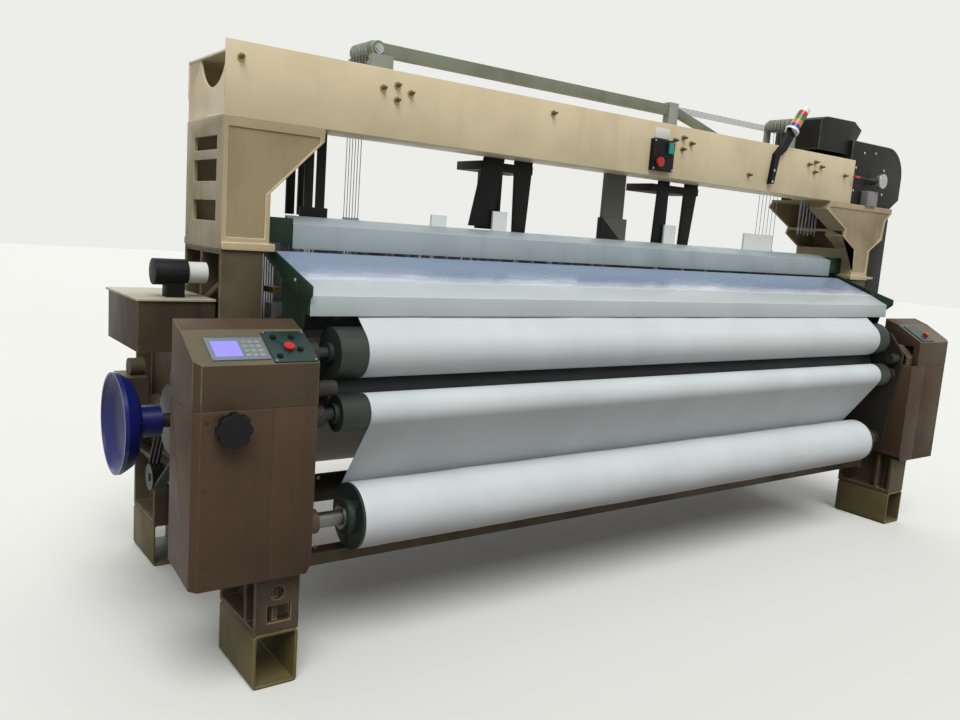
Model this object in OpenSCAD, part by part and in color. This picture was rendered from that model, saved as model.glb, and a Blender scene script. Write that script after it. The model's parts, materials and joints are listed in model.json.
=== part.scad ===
// Wide shuttleless loom with a dobby, for filament cloth. Millimetres, +Z up.
// The weaver stands at -Y and looks along +Y. The origin is on the floor, below the middle
// of the loom's outline. A setback is a distance behind the front feet's front faces.

/* [Overall] */
// Distance from the cloth's edges to the side frames' outer faces
side_room = 387.5; // [380:0.5:400]
// Depth of the side frames, from the front feet to the rear feet
frame_d = 1450; // [1440:5:1480]
// Reach of the handwheel and of the dobby beyond the side frames
overhang = 300; // [295:1:310]

/* [Riser blocks] */
// Height of the steel tube blocks under the feet
riser_h = 185; // [150:5:200]
// Length of a riser block, front to back
riser_l = 315; // [280:5:330]
// Wall of the riser tube
riser_wall = 9; // [6:1:10]
// Outer corner radius of the riser tube
riser_r = 16; // [12:1:20]

/* [Side frames] */
// Width of the cast side frames, and of the risers
frame_w = 150; // [146:2:154]
// Thickness of the frame castings' flanges
flange = 18; // [14:1:20]
// Thickness of the frame castings' web
web = 20; // [14:2:24]
// Height of the front of the side frame over the riser
front_rise = 855; // [845:5:860]
// Height of the rear of the side frame over the riser
rear_rise = 915; // [900:5:925]
// Height of the uprights' seat over the riser
deck_rise = 1200; // [1190:5:1210]
// Length of a foot, front to back
foot_l = 320; // [300:5:330]
// Height of the arch between the feet over the riser
arch_rise = 235; // [220:5:245]

/* [Uprights and top beam] */
// Setback of the uprights and of the top beam
column_setback = 402; // [398:1:406]
// Depth of the uprights and of the top beam
column_d = 385; // [380:1:390]
// Height of an upright from its seat to the beam
column_h = 435; // [425:5:445]
// Plate thickness of the cast uprights
plate = 14; // [10:1:16]
// Height of the raised rim around the uprights' front plates
rim_h = 5; // [3:1:6]
// Width of the raised rim
rim_w = 17; // [14:1:20]
// Thickness of the flange at an upright's foot
seat_t = 25; // [20:1:30]
// Reach of the left upright's gusset along the beam
gusset_reach = 361; // [340:1:380]
// Width of the uprights' waist
waist_w = 168; // [160:1:172]
// Height of the top beam's front plate
beam_h = 244; // [230:2:260]
// Wall of the top beam
beam_wall = 8; // [6:1:10]
// How far the beam's right end stops short of the right frame's outer face
beam_short = 271; // [260:1:280]
// Height of the beam's front lip over its top plate
beam_lip = 34; // [20:1:40]
// Depth of the beam's lower flange
beam_flange_d = 178; // [174:1:182]

/* [Cloth path] */
// Width of the woven cloth
cloth_w = 3170; // [3100:5:3200]
// Thickness of the cloth, as built
cloth_t = 1.2; // [1:0.1:2]
// Gap between the cloth and the rollers it runs on
cloth_gap = 0.4; // [0.3:0.1:0.6]
// Radius of the breast bar
bar_r = 25; // [20:1:28]
// Radius of the upper press roller
press_r = 87; // [84:1:88]
// Radius of the lower press roller
lower_r = 62; // [60:1:64]
// Radius of the take-up roller
surface_r = 98; // [90:1:100]
// Radius of the wound cloth roll
roll_r = 119; // [100:1:122]
// Setback of the breast bar
bar_setback = 215; // [213:1:218]
// Height of the breast bar
bar_z = 1215; // [1213:1:1217]
// Height of the shed's middle line, where the cloth starts
shed_z = 1262; // [1260:1:1264]
// Setback of the upper press roller
upper_setback = 134; // [132:1:138]
// Height of the upper press roller
upper_z = 1070; // [1066:1:1074]
// Setback of the lower press roller
lower_setback = 76; // [74:1:80]
// Height of the lower press roller
lower_z = 875; // [872:1:880]
// Setback of the cloth roll
roll_setback = 124; // [120:1:128]
// Height of the cloth roll
roll_z = 493; // [485:1:500]
// Radius of the journals of the rollers
journal_r = 20; // [16:1:22]
// Distance of the rubber's ends from the side frames
rubber_inset = 135; // [130:1:145]

/* [Covers] */
// Height of the front cover's front face
cover_face_h = 68; // [60:1:74]
// Height of the front cover's lower edge
cover_z = 1192; // [1190:1:1196]
// Setback of the front cover
cover_setback = 134; // [132:1:138]
// Depth of the front cover's slope
cover_slope_d = 97; // [90:1:100]
// Rise of the front cover's slope
cover_slope_h = 44; // [38:1:48]
// Sheet thickness of the covers
sheet_t = 3; // [2:0.5:4]
// Distance of the front cover's ends from the side frames' inner faces
cover_inset = 58; // [56:1:64]
// Setback of the reed cover
reed_cover_setback = 470; // [466:1:474]
// Height of the reed cover's lower edge
reed_cover_z = 1396; // [1392:1:1400]
// Height of the reed cover's front face
reed_cover_h = 90; // [80:1:96]
// Depth of the reed cover
reed_cover_d = 78; // [70:1:80]
// Rise of the reed cover's slope
reed_cover_rise = 28; // [20:1:32]
// Distance of the reed cover's ends from the side frames' inner faces
reed_cover_inset = 135; // [128:1:140]
// Length of the splash guard, up its slope
splash_l = 232; // [228:1:236]
// Slope of the splash guard at rest
splash_tilt = 20; // [18:1:21]

/* [Cabinets] */
// How far the cabinets stand out in front of the feet
cab_reach = 40; // [38:1:44]
// How far the cabinets stand out beyond the side frames
cab_out = 219; // [210:1:224]
// Depth of the cabinets
cab_d = 222; // [214:1:226]
// Height of the cabinets' lower edge, at the front
cab_z = 385; // [380:1:390]
// Rise of the cabinets' underside towards the rear
cab_lift = 32; // [26:1:36]
// Height of the joint between a cabinet and its cap
cab_joint_z = 935; // [925:1:945]
// Height of the cap's front edge
cap_front_z = 1068; // [1064:1:1072]
// Height of the upper edge of the cap's sloping panel
cap_top_z = 1154; // [1150:1:1158]
// Height of the cap's rear edge
cap_back_z = 1180; // [1174:1:1184]
// Depth of the cap's sloping panel
cap_slope_d = 148; // [142:1:152]
// Width of the chamfer on the cabinets' outer front corner
cab_chamfer = 20; // [16:1:26]
// Clearance between a cabinet and the side frame or bracket beside it
cab_gap = 2; // [2:0.5:3]
// Radius of the clamp knob
knob_r = 53; // [50:1:60]
// Reach of the clamp knob
knob_l = 52; // [46:1:56]

/* [Shed and beat-up] */
// Setback of the sley's rocking shaft
sley_setback = 478; // [474:1:482]
// Height of the rocking shaft
sley_z = 930; // [926:1:934]
// Radius of the rocking shaft
rocker_r = 30; // [26:1:32]
// Height of the sley's beam
sley_beam_z = 1150; // [1146:1:1154]
// Height of the reed
reed_h = 120; // [110:1:124]
// Gaps in the reed, as built
reed_gaps = 110; // [60:1:120]
// Number of sley swords
swords = 9; // [8:1:10]
// Spacing of the heald frames, front to back
heald_pitch = 24; // [23:0.5:25]
// Thickness of a heald frame
heald_t = 12; // [10:1:13]
// Setback of the first heald frame
heald_setback = 584; // [583:1:587]
// Height of the lower edge of a heald frame at rest
heald_z = 1085; // [1080:1:1090]
// Height of a heald frame
heald_h = 358; // [350:1:362]
// Reach of the heald frames beyond the cloth's edges
heald_over = 125; // [115:5:135]
// Height of the heald frames' rails
rail_h = 30; // [26:1:34]
// Number of healds in a frame, as built
healds = 61; // [41:2:71]
// Distance of the left lifting cables from the loom's middle
cable_x = 1370; // [1360:1:1380]
// Distance of the right lifting cables from the loom's middle
cable_right = 1275; // [1265:1:1285]

/* [Drive] */
// Setback of the crankshaft
crank_setback = 556; // [552:1:560]
// Height of the crankshaft
crank_z = 776; // [772:1:780]
// Radius of the crankshaft
crank_r = 25; // [22:1:28]
// Radius of the dished handwheel
wheel_r = 174; // [165:1:178]
// Depth of the handwheel's dish
wheel_dish = 62; // [55:1:68]
// Radius of the large pulley
pulley_big_r = 125; // [120:1:130]
// Radius of the motor pulley
pulley_small_r = 50; // [46:1:54]
// Setback of the motor
motor_setback = 800; // [794:1:806]
// Height of the motor's shaft
motor_z = 500; // [495:1:505]
// Radius of the motor's body
motor_r = 78; // [70:1:82]
// Length of the motor's body
motor_l = 280; // [240:5:300]

/* [Warp side] */
// Distance of the warp beam's axis from the rear feet's rear faces
warp_inset = 120; // [115:1:125]
// Height of the warp beam
warp_z = 640; // [630:1:650]
// Radius of the warp beam's flanges
warp_flange_r = 400; // [380:5:405]
// Radius of the wound warp
warp_r = 300; // [250:5:330]
// Distance of the back rest roller's axis from the rear feet's rear faces
rest_inset = 65; // [60:1:70]
// Height of the back rest roller
rest_z = 1215; // [1212:1:1220]
// Radius of the back rest roller
rest_r = 60; // [55:1:62]

/* [Hidden] */
$fn = 64;

// Shared clearances
run_gap = 0.05;
seat_gap = 0.3;
eps = 1;

// Widths: outer face and inner face of a side frame, measured from the middle
loom_w = cloth_w + 2 * side_room;
heald_w = cloth_w + 2 * heald_over;
xo = loom_w / 2;
xi = xo - frame_w;
inner_w = 2 * xi;

// Depths: the front feet's front faces lie at yf
warp_setback = frame_d - warp_inset;
rest_setback = frame_d - rest_inset;
y_reach = cab_reach + knob_l;
yf = (y_reach - warp_setback - warp_flange_r) / 2;
column_y = yf + column_setback;
column_back = column_y + column_d;

// Heights
front_top = riser_h + front_rise;
rear_top = riser_h + rear_rise;
deck_z = riser_h + deck_rise;
arch_z = riser_h + arch_rise;
column_z = deck_z + seat_t;
beam_z = deck_z + column_h;
beam_top = beam_z + beam_h;
beam_deck = beam_top - beam_lip;
beam_right = xo - beam_short;

// Axes of the turning parts, as [y, z]
bar_c = [yf + bar_setback, bar_z];
upper_c = [yf + upper_setback, upper_z];
lower_c = [yf + lower_setback, lower_z];
roll_c = [yf + roll_setback, roll_z];
sley_c = [yf + sley_setback, sley_z];
crank_c = [yf + crank_setback, crank_z];
motor_c = [yf + motor_setback, motor_z];
warp_c = [yf + warp_setback, warp_z];
rest_c = [yf + rest_setback, rest_z];

// The take-up roller touches both press rollers, less the cloth between them
nip = cloth_t + 2 * cloth_gap;
nip_a = press_r + surface_r + nip;
nip_b = lower_r + surface_r + nip;
nip_l = norm(upper_c - lower_c);
nip_down = (nip_a * nip_a - nip_b * nip_b + nip_l * nip_l) / (2 * nip_l);
nip_dir = (lower_c - upper_c) / nip_l;
surface_c = upper_c + nip_down * nip_dir + sqrt(nip_a * nip_a - nip_down * nip_down) * [-nip_dir[1], nip_dir[0]];

// Heald frames, front to back
function heald_y(i) = yf + heald_setback + i * heald_pitch;
heald_n = 6;
heald_back = heald_y(heald_n - 1) + heald_t;
hook_h = 80;
hook_r = 7;
cable_r = 1.5;
hook_bore_r = cable_r + seat_gap;
cable_end_z = heald_z + heald_h + hook_h - 12;

// Harness on top of the beam
sheave_r = 35;
groove_r = 28;
sheave_t = 12;
axle_r = 10;
harness_z = beam_top + 94;
harness_y = yf + 545;
harness_t = 30;
harness_h = 50;
cable_xs = [-cable_x, cable_right];
cable_in = groove_r + seat_gap + cable_r;
sheave_x = -cable_x + cable_in;
rack_x = cable_right + cable_in;
rack_z = harness_z + 62;

// Dobby
dobby_x0 = beam_right + 4;
dobby_x1 = xo + overhang;
dobby_y = column_y + 30;
dobby_d = 440;
dobby_top = beam_z + 360;
arm_x0 = xo - 560;
arm_top = beam_top + 225;
arm_h = 190;

// Common shapes
module rounded(w, h, r) {
    translate([r, 0]) square([w - 2 * r, h]);
    translate([0, r]) square([w, h - 2 * r]);
    for (x = [r, w - r], y = [r, h - r]) translate([x, y]) circle(r);
}
module along_x(x, l) { translate([x, 0, 0]) rotate([90, 0, 90]) linear_extrude(l) children(); }
module along_y(y, l) { translate([0, y + l, 0]) rotate([90, 0, 0]) linear_extrude(l) children(); }
module rod_x(x, c, r, l) { translate([x, c[0], c[1]]) rotate([0, 90, 0]) cylinder(r = r, h = l); }
module rod_y(x, y, z, r, l) { translate([x, y, z]) rotate([-90, 0, 0]) cylinder(r = r, h = l); }
module block(x, y, z, w, d, h) { translate([x, y, z]) cube([w, d, h]); }
module both_sides() {
    children();
    mirror([1, 0, 0]) children();
}

// A strip of thickness t that runs over circles [centre, radius, turn]: turn is 1 with the
// centre on the left of the travel and -1 with it on the right. The ends have a radius of 0.
function heading(a, b) = let (d = b[0] - a[0])
    atan2(d[1], d[0]) + asin((a[2] * a[1] - b[2] * b[1]) / norm(d));
function unwrap(a, b, s) = let (k = s * (b - a)) a + s * (k - 360 * floor(k / 360));
function arc_headings(c, i) = let (
        a = heading(c[i - 1], c[i]), b = unwrap(a, heading(c[i], c[i + 1]), c[i][2]),
        n = max(1, ceil(abs(b - a) / 8)))
    [for (k = [0:n]) a + (b - a) * k / n];
function side_pt(c, h, off) = c[0] + (c[2] * c[1] + off) * [sin(h), -cos(h)];
function strip_side(c, off) = concat(
    [side_pt(c[0], heading(c[0], c[1]), off)],
    [for (i = [1:len(c) - 2], h = arc_headings(c, i)) side_pt(c[i], h, off)],
    [side_pt(c[len(c) - 1], heading(c[len(c) - 2], c[len(c) - 1]), off)]);
function reversed(v) = [for (i = [len(v) - 1:-1:0]) v[i]];
module strip(circles, t) { polygon(concat(strip_side(circles, t / 2), reversed(strip_side(circles, -t / 2)))); }

// Riser blocks
module riser_blocks() {
    color("#8A8A62") both_sides() for (y = [yf, yf + frame_d - riser_l])
        along_y(y, riser_l) translate([xi, 0]) difference() {
            rounded(frame_w, riser_h, riser_r);
            translate([riser_wall, riser_wall])
                rounded(frame_w - 2 * riser_wall, riser_h - 2 * riser_wall, riser_r - riser_wall);
        }
}

// Side frames: profile in depth and height, inset by e from its outer edges
function frame_outline(e) = let (yb = yf + frame_d, yc = column_y, yd = column_back) [
    [yf + e, riser_h + e], [yf + e, front_top - 60], [yf + 60, front_top - e], [yc + e, front_top - e],
    [yc + e, deck_z - e], [yd - e, deck_z - e], [yd - e, rear_top + 120], [yd + 120, rear_top - e],
    [yb - e, rear_top - e], [yb - e, riser_h + e], [yb - foot_l + e, riser_h + e],
    [yb - foot_l + e, arch_z + e], [yf + foot_l - e, arch_z + e], [yf + foot_l - e, riser_h + e]];
rail_at = [195, 100];
stay_c = [yf + 560, riser_h + 274];
stay_r = 55;
rear_stay_c = [yf + 900, riser_h + 665];
rear_stay_r = 36;
module frame_ribs() {
    intersection() {
        polygon(frame_outline(0));
        union() {
            translate([column_y, arch_z]) square([flange, front_top - arch_z]);
            translate([column_y + column_d / 2, front_top]) square([flange, deck_z - front_top]);
            translate([column_back - flange, arch_z]) square([flange, rear_top + 120 - arch_z]);
            translate([yf, front_top - flange]) square([column_setback + column_d, flange]);
            translate([column_y, deck_z - 120]) rotate(-24) square([column_d * 1.2, flange]);
            translate([yf, riser_h + 265]) square([frame_d, flange]);
            translate([yf + rail_at[0], riser_h + rail_at[1]]) square([70, 75]);
            translate([yf + 80, riser_h]) square([flange, arch_rise]);
        }
    }
}
module frame_bosses() {
    for (p = [[sley_c, 52], [crank_c, 60], [motor_c, 45], [warp_c, 66], [stay_c, 66], [rear_stay_c, 50]])
        translate(p[0]) circle(p[1]);
}
module side_frame(front_holes) {
    pocket = (frame_w - web) / 2;
    difference() {
        union() {
            difference() {
                along_x(-xo, frame_w) polygon(frame_outline(0));
                along_x(-xo - eps, pocket + eps) polygon(frame_outline(flange));
                along_x(-xi - pocket, pocket + eps) polygon(frame_outline(flange));
            }
            along_x(-xo, frame_w) frame_ribs();
            along_x(-xo, frame_w) frame_bosses();
        }
        for (p = [[sley_c, rocker_r], [crank_c, crank_r], [warp_c, 30]])
            rod_x(-xo - eps, p[0], p[1] + run_gap, frame_w + 2 * eps);
        rod_x(-xo - eps, motor_c, 26, frame_w + 2 * eps);
        if (front_holes) {
            rod_y(-xo + frame_w / 2, yf - eps, riser_h + 134, 22, flange + 2 * eps);
            block(-xo + 42, yf - eps, riser_h + 36, 78, flange + 2 * eps, 56);
        }
    }
}
module side_frame_left() { color("#7E6E54") side_frame(true); }
module side_frame_right() { color("#7E6E54") mirror([1, 0, 0]) side_frame(false); }

// Left upright: a hollow casting with a gusset towards the middle, drawn from its outer face
function gusset_outline(e) = let (z1 = beam_z - plate, z2 = z1 - 30, dz = gusset_reach - waist_w) [
    [e, column_z + e], [waist_w - e, column_z + e], [waist_w - e, z2 - dz - e * 0.4],
    [gusset_reach - e, z2 - e * 0.4], [gusset_reach - e, z1 - e], [e, z1 - e]];
module upright_left() {
    windows = [[66, 70], [199, 74], [304, 47]];
    color("#C4B48E") translate([-xo, 0, 0]) {
        difference() {
            along_y(column_y, rim_h + plate) polygon(gusset_outline(0));
            along_y(column_y - eps, rim_h + eps) polygon(gusset_outline(rim_w));
        }
        along_y(column_back - plate, plate) polygon(gusset_outline(0));
        difference() {
            block(0, column_y + plate, column_z, plate, column_d - 2 * plate, beam_z - plate - column_z);
            for (w = windows) block(-eps, column_y + 64, column_z + w[0], plate + 2 * eps, 238, w[1]);
        }
        block(waist_w - plate, column_y + plate, column_z, plate, column_d - 2 * plate, 130);
        block(0, column_y, beam_z - plate, gusset_reach, column_d, plate);
        block(0, column_y - 10, deck_z, waist_w + 18, column_d + 20, seat_t);
    }
}

// Right upright: branched casting that carries the beam's end and the dobby, measured from
// the right frame's outer face and from the casting's top
branch_reach = 500;
branch_out = 188;
branch_flange = 110;
lip_out = 62;
function branch_inner(e) = let (z1 = beam_z - plate, k = z1 - column_z) [
    [-waist_w + e, column_z + e], [-waist_w + e, column_z + 0.38 * k - e * 0.6],
    [-304 + e * 1.6, column_z + 0.56 * k], [-288 + e * 1.4, column_z + 0.66 * k],
    [-branch_reach + e * 1.6, z1 - 31], [26 - branch_reach + e * 0.8, z1 - e]];
function branch_outer(e) = let (z1 = beam_z - plate, k = z1 - column_z) [
    [branch_out - e, z1 - e], [branch_out - e, z1 - 16 - e * 0.3], [134 - e, z1 - 60 - e * 0.3], [120 - e, z1 - 176 + e * 0.4],
    [-e, column_z + 0.38 * k - e * 0.4], [-e, column_z + e]];
module upright_right() {
    wall_z = 0.38 * (beam_z - plate - column_z);
    z1 = beam_z - plate;
    color("#C4B48E") translate([xo, 0, 0]) {
        difference() {
            along_y(column_y, rim_h + plate) polygon(concat(branch_inner(0), branch_outer(0)));
            along_y(column_y - eps, rim_h + eps) polygon(concat(branch_inner(rim_w), branch_outer(rim_w)));
        }
        along_y(column_y + rim_h, branch_flange) intersection() {
            difference() {
                polygon(concat(branch_inner(0), branch_outer(0)));
                polygon(concat(branch_inner(plate), branch_outer(plate)));
            }
            translate([-branch_reach, column_z]) square([branch_reach - 60, z1 - column_z]);
        }
        along_y(column_back - plate, plate) polygon(concat(branch_inner(0), [[0, z1], [0, column_z]]));
        block(-waist_w, column_y + plate, column_z, plate, column_d - 2 * plate, wall_z);
        block(-plate, column_y + plate, column_z, plate, column_d - 2 * plate, z1 - column_z);
        block(-292, column_y + plate, column_z + 0.62 * (z1 - column_z), 285, column_d - 2 * plate, plate);
        block(26 - branch_reach, column_y, z1, branch_reach + branch_out - 26, column_d, plate);
        block(-waist_w - 18, column_y - 10, deck_z, waist_w + 18, column_d + 20, seat_t);
        block(0, column_y - 10, deck_z + 6, lip_out, rim_h + plate + 10, seat_t - 12);
    }
}

// Top beam: a tall front plate with a lower flange, a top plate and a shallow rear plate
module top_beam() {
    l = xo + beam_right;
    color("#D0C294") {
        difference() {
            union() {
                block(-xo, column_y, beam_z, l, beam_wall, beam_h);
                block(-xo, column_y, beam_z, l, beam_flange_d, beam_wall);
                block(-xo, column_y, beam_deck - beam_wall, l, column_d, beam_wall);
                block(-xo, column_back - beam_wall, beam_deck - 130, l, beam_wall, 130);
            }
            for (x = cable_xs) block(x - 8, heald_y(0) - 10, beam_deck - 2 * beam_wall,
                16, heald_pitch * 5 + 32, 3 * beam_wall);
        }
        for (x = [-xo + 3, beam_right - 3 - beam_wall])
            translate([x, 0, 0]) difference() {
                block(0, column_y + beam_wall, beam_z, beam_wall, column_d - beam_wall, beam_deck - beam_wall - beam_z);
                translate([-eps, column_y + 130, beam_deck + 20]) rotate([0, 90, 0])
                    cylinder(r = 130, h = beam_wall + 2 * eps);
            }
    }
}

// Beam bolts: clusters of four, and single ones. x is measured from the left end, z from the top.
bolt_groups = [640, 2204, 3283];
bolt_cross = [[-59, 9], [0, 27], [58, 7], [0, -26]];
bolt_singles = [[50, 52], [1392, 49], [2719, 174], [3577, 97]];
module bolt(r) {
    rotate([90, 0, 0]) {
        cylinder(r = r * 1.5, h = 3);
        cylinder(r = r, h = 10, $fn = 6);
        cylinder(r = r * 0.55, h = 26);
    }
}
module beam_bolts() {
    color("#8C7440") {
        for (x = bolt_groups, p = bolt_cross) translate([x - xo + p[0], column_y, beam_top - 79 + p[1]]) bolt(9.5);
        for (p = bolt_singles) translate([p[0] - xo, column_y, beam_top - p[1]]) bolt(9.5);
    }
}

// Cross members between the side frames
module cross_rails() {
    color("#7A6A50") {
        difference() {
            block(-xi, yf + rail_at[0] + 4, riser_h + rail_at[1] + 14, inner_w, 62, 46);
            block(-xi - eps, yf + rail_at[0] + 10, riser_h + rail_at[1] + 8, inner_w + 2 * eps, 50, 46);
        }
        for (c = [[stay_c, stay_r], [rear_stay_c, rear_stay_r]]) {
            rod_x(-xi, c[0], c[1], inner_w);
            for (x = [-xi, xi - 16]) rod_x(x, c[0], c[1] + 22, 16);
        }
    }
}

// Brackets that carry the covers, with the edge guards at their outer sides
cover_x = xi - cover_inset;
cover_back = yf + cover_setback + cover_slope_d;
cover_top = cover_z + cover_face_h + cover_slope_h;
splash_tube_r = 6;
splash_c = [cover_back + splash_tube_r + 2, cover_top - 2];
module cover_brackets() {
    foot_y = yf + 200;
    reed_end = xi - reed_cover_inset;
    color("#1F5A48") both_sides() {
        difference() {
            along_x(cover_x, 6) {
                polygon([[yf + cover_setback + sheet_t, cover_z + 4],
                    [yf + cover_setback + sheet_t, cover_z + cover_face_h - 4],
                    [cover_back - 4, cover_top - 6], [foot_y + 150, cover_top - 20], [foot_y + 150, front_top],
                    [foot_y, front_top], [foot_y - 34, cover_z + 4]]);
                translate(splash_c) circle(20);
            }
            rod_x(cover_x - eps, splash_c, splash_tube_r + run_gap, 20);
        }
        block(cover_x, foot_y, front_top, cover_inset + frame_w / 2, 150, 10);
        block(reed_end, yf + reed_cover_setback + sheet_t, column_z + 4, xo - waist_w - reed_end, 66, 90);
    }
    color("silver") both_sides() difference() {
        along_x(cover_x + 6, 4) polygon([
            [yf + 104, cover_z + 100], [yf + 530, cover_z + 228], [yf + 530, cover_z + 180],
            [yf + 240, cover_z + 60], [yf + 140, cover_z + 40], [yf + 104, cover_z + 70]]);
        rod_x(cover_x, splash_c, splash_tube_r + run_gap, 20);
    }
}

// Breast bar
module breast_bar() { color("silver") rod_x(-cover_x, bar_c, bar_r, 2 * cover_x); }

// Front cover: bent sheet over the breast bar
module front_cover() {
    y0 = yf + cover_setback;
    y1 = y0 + cover_slope_d;
    z1 = cover_z + cover_face_h;
    z2 = z1 + cover_slope_h;
    color("#C8CCC8") along_x(-cover_x, 2 * cover_x) polygon([
        [y0, cover_z], [y0 + sheet_t, cover_z], [y0 + sheet_t, z1 - sheet_t / 2], [y1 - sheet_t, z2 - sheet_t],
        [y1 - sheet_t, z2 - 16], [y1, z2 - 16], [y1, z2], [y0, z1]]);
}

// Splash guard: a clear sheet on a hinge tube along the front cover's rear edge
module splash_guard() {
    x = cover_x - 6;
    color("#9C9CD0") {
        rod_x(-cover_x - 12, splash_c, splash_tube_r, 2 * (cover_x + 12));
        translate([0, splash_c[0], splash_c[1]]) rotate([splash_tilt, 0, 0])
            translate([-x, 0, 1]) cube([2 * x, splash_l, 4]);
    }
}

// Reed cover: bent sheet, with the white guide blocks behind it
guide_xs = [[917, 74, 74], [1228, 76, 110], [2300, 84, 120], [2937, 250, 116]];
guide_t = 12;
module reed_cover() {
    y0 = yf + reed_cover_setback;
    y1 = y0 + reed_cover_d;
    z1 = reed_cover_z + reed_cover_h;
    color("#B9BEBE") along_x(-xi + reed_cover_inset, 2 * (xi - reed_cover_inset)) polygon([
        [y0, reed_cover_z], [y0 + sheet_t, reed_cover_z], [y0 + sheet_t, z1 - 2],
        [y1 - sheet_t, z1 + reed_cover_rise - sheet_t], [y1 - sheet_t, reed_cover_z + 20], [y1, reed_cover_z + 20],
        [y1, z1 + reed_cover_rise], [y0, z1]]);
    color("#E6E8E6") for (g = guide_xs) block(g[0] - xo, y1, z1 - 20, g[1], guide_t, g[2] + 20);
}

// Cabinets at the front corners, drawn on the left
module cab_outline(e, narrow = 0) {
    x0 = -xo - cab_out + e;
    x1 = -xi + cab_gap + 15 - narrow - e;
    y0 = yf - cab_reach + e;
    y1 = y0 + cab_d;
    polygon([[x0 + cab_chamfer - e * 0.4, y0], [x1, y0], [x1, y1], [x0, y1], [x0, y0 + cab_chamfer - e * 0.4]]);
}
module cab_prism(e, narrow, low, high) {
    translate([0, 0, low]) linear_extrude(high - low) cab_outline(e, narrow);
}
module cab_side(low, e) {
    y0 = yf - cab_reach;
    k = (cab_d + 20) / cab_d;
    along_x(-xo - cab_out - eps, cab_out + frame_w + 50)
        polygon([[y0, low], [y0 + cab_d + 20, low + cab_lift * k], [y0 + cab_d + 20, cab_joint_z + e], [y0, cab_joint_z + e]]);
}
module cabinet() {
    y0 = yf - cab_reach;
    x1 = -xi + cab_gap + 15;
    difference() {
        intersection() {
            cab_prism(0, 0, cab_z, cab_joint_z);
            cab_side(cab_z, 0);
        }
        intersection() {
            cab_prism(sheet_t, 0, cab_z, cab_joint_z + eps);
            cab_side(cab_z + sheet_t, eps);
        }
        block(-xo - 6, yf - 8, cab_z - eps, frame_w + 18, cab_d, cab_lift + sheet_t + 2 * eps);
        along_y(y0 - eps, cab_d + 2 * eps) polygon([[x1 - 18, cab_z - eps], [x1 + eps, cab_z - eps], [x1 + eps, cab_z + 30]]);
        block(-xo + 22, y0 - eps, cab_z - eps, 2.5, eps + 1.2, cab_joint_z - cab_z + 2 * eps);
        difference() {
            cab_prism(-eps, 0, cab_joint_z - 4, cab_joint_z + eps);
            cab_prism(1.5, 0, cab_joint_z - 4 - eps, cab_joint_z + 2 * eps);
        }
    }
    for (z = [cab_z + 60, cab_joint_z - 80])
        block(-xo + 30, yf - cab_reach + sheet_t, z, 60, cab_reach - sheet_t, 30);
}
cap_narrow = 58;
module cap(narrow) {
    y0 = yf - cab_reach;
    y2 = y0 + cab_d + 20;
    z2 = cap_back_z + 20 * (cap_back_z - cap_top_z) / (cab_d - cap_slope_d);
    difference() {
        intersection() {
            cab_prism(0, narrow, cab_joint_z, z2);
            along_x(-xo - cab_out - eps, cab_out + frame_w + 50) polygon([[y0, cab_joint_z], [y0, cap_front_z],
                [y0 + cap_slope_d, cap_top_z], [y2, z2], [y2, cab_joint_z]]);
        }
        intersection() {
            cab_prism(sheet_t, narrow, cab_joint_z - eps, z2);
            along_x(-xo - cab_out - eps, cab_out + frame_w + 50) polygon([[y0, cab_joint_z - eps],
                [y0, cap_front_z - sheet_t * 1.2], [y0 + cap_slope_d, cap_top_z - sheet_t * 1.1],
                [y2, z2 - sheet_t * 1.05], [y2, cab_joint_z - eps]]);
        }
        block(-xo - 2, yf - 2, cab_joint_z - eps, frame_w + 4, cab_d, front_top + 2 - cab_joint_z + eps);
    }
}
module cabinet_left() {
    color("#6E5A46") difference() {
        cabinet();
        rod_y(knob_x, yf - cab_reach - eps, knob_z, knob_stem_r + run_gap, 20);
    }
}
module cap_left() { color("#74604A") cap(0); }
module cabinet_right() {
    x1 = -xi + cab_gap + 15;
    color("#6E5A46") mirror([1, 0, 0]) {
        cabinet();
        block(x1 - cap_narrow + seat_gap, yf - cab_reach + 1.5, cab_joint_z - sheet_t,
            cap_narrow - seat_gap - 1.5, cab_reach - 3.5, sheet_t);
        block(x1 - 14, yf - cab_reach + 1.5, cab_joint_z - sheet_t, 12.5, cab_d - 1.5, sheet_t);
    }
}
cap_tilt = atan2(cap_top_z - cap_front_z, cap_slope_d);
module on_cap(x, up) {
    translate([x, yf - cab_reach, cap_front_z]) rotate([cap_tilt, 0, 0]) translate([0, up, 0]) children();
}
module cap_right() {
    color("#74604A") mirror([1, 0, 0]) cap(cap_narrow);
    color("black") on_cap(xo - 84, 8) cube([122, 140, 6]);
    color("darkred") on_cap(xo + 14, 56) cylinder(r = 15, h = 22);
}

// Control panel: a display and a switch plate on the left cap's slope
button_gap = 0.5;
button_at = [-xo + 82, 61];
module control_panel() {
    color("#2A2A30") {
        on_cap(-xo - 163, 22) cube([178, 104, 5]);
        difference() {
            on_cap(-xo + 22, 5) cube([140, 148, 6]);
            on_cap(button_at[0], button_at[1]) translate([0, 0, 1.5]) cylinder(r = 9 + button_gap, h = 20);
        }
        difference() {
            on_cap(button_at[0], button_at[1]) translate([0, 0, 5]) cylinder(r = 17, h = 7);
            on_cap(button_at[0], button_at[1]) translate([0, 0, 1.5]) cylinder(r = 9 + button_gap, h = 20);
        }
    }
}
module panel_button() {
    color("red") on_cap(button_at[0], button_at[1]) {
        translate([0, 0, 5]) cylinder(r = 9, h = 11);
        translate([0, 0, 16]) cylinder(r = 17, h = 8);
    }
}

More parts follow.
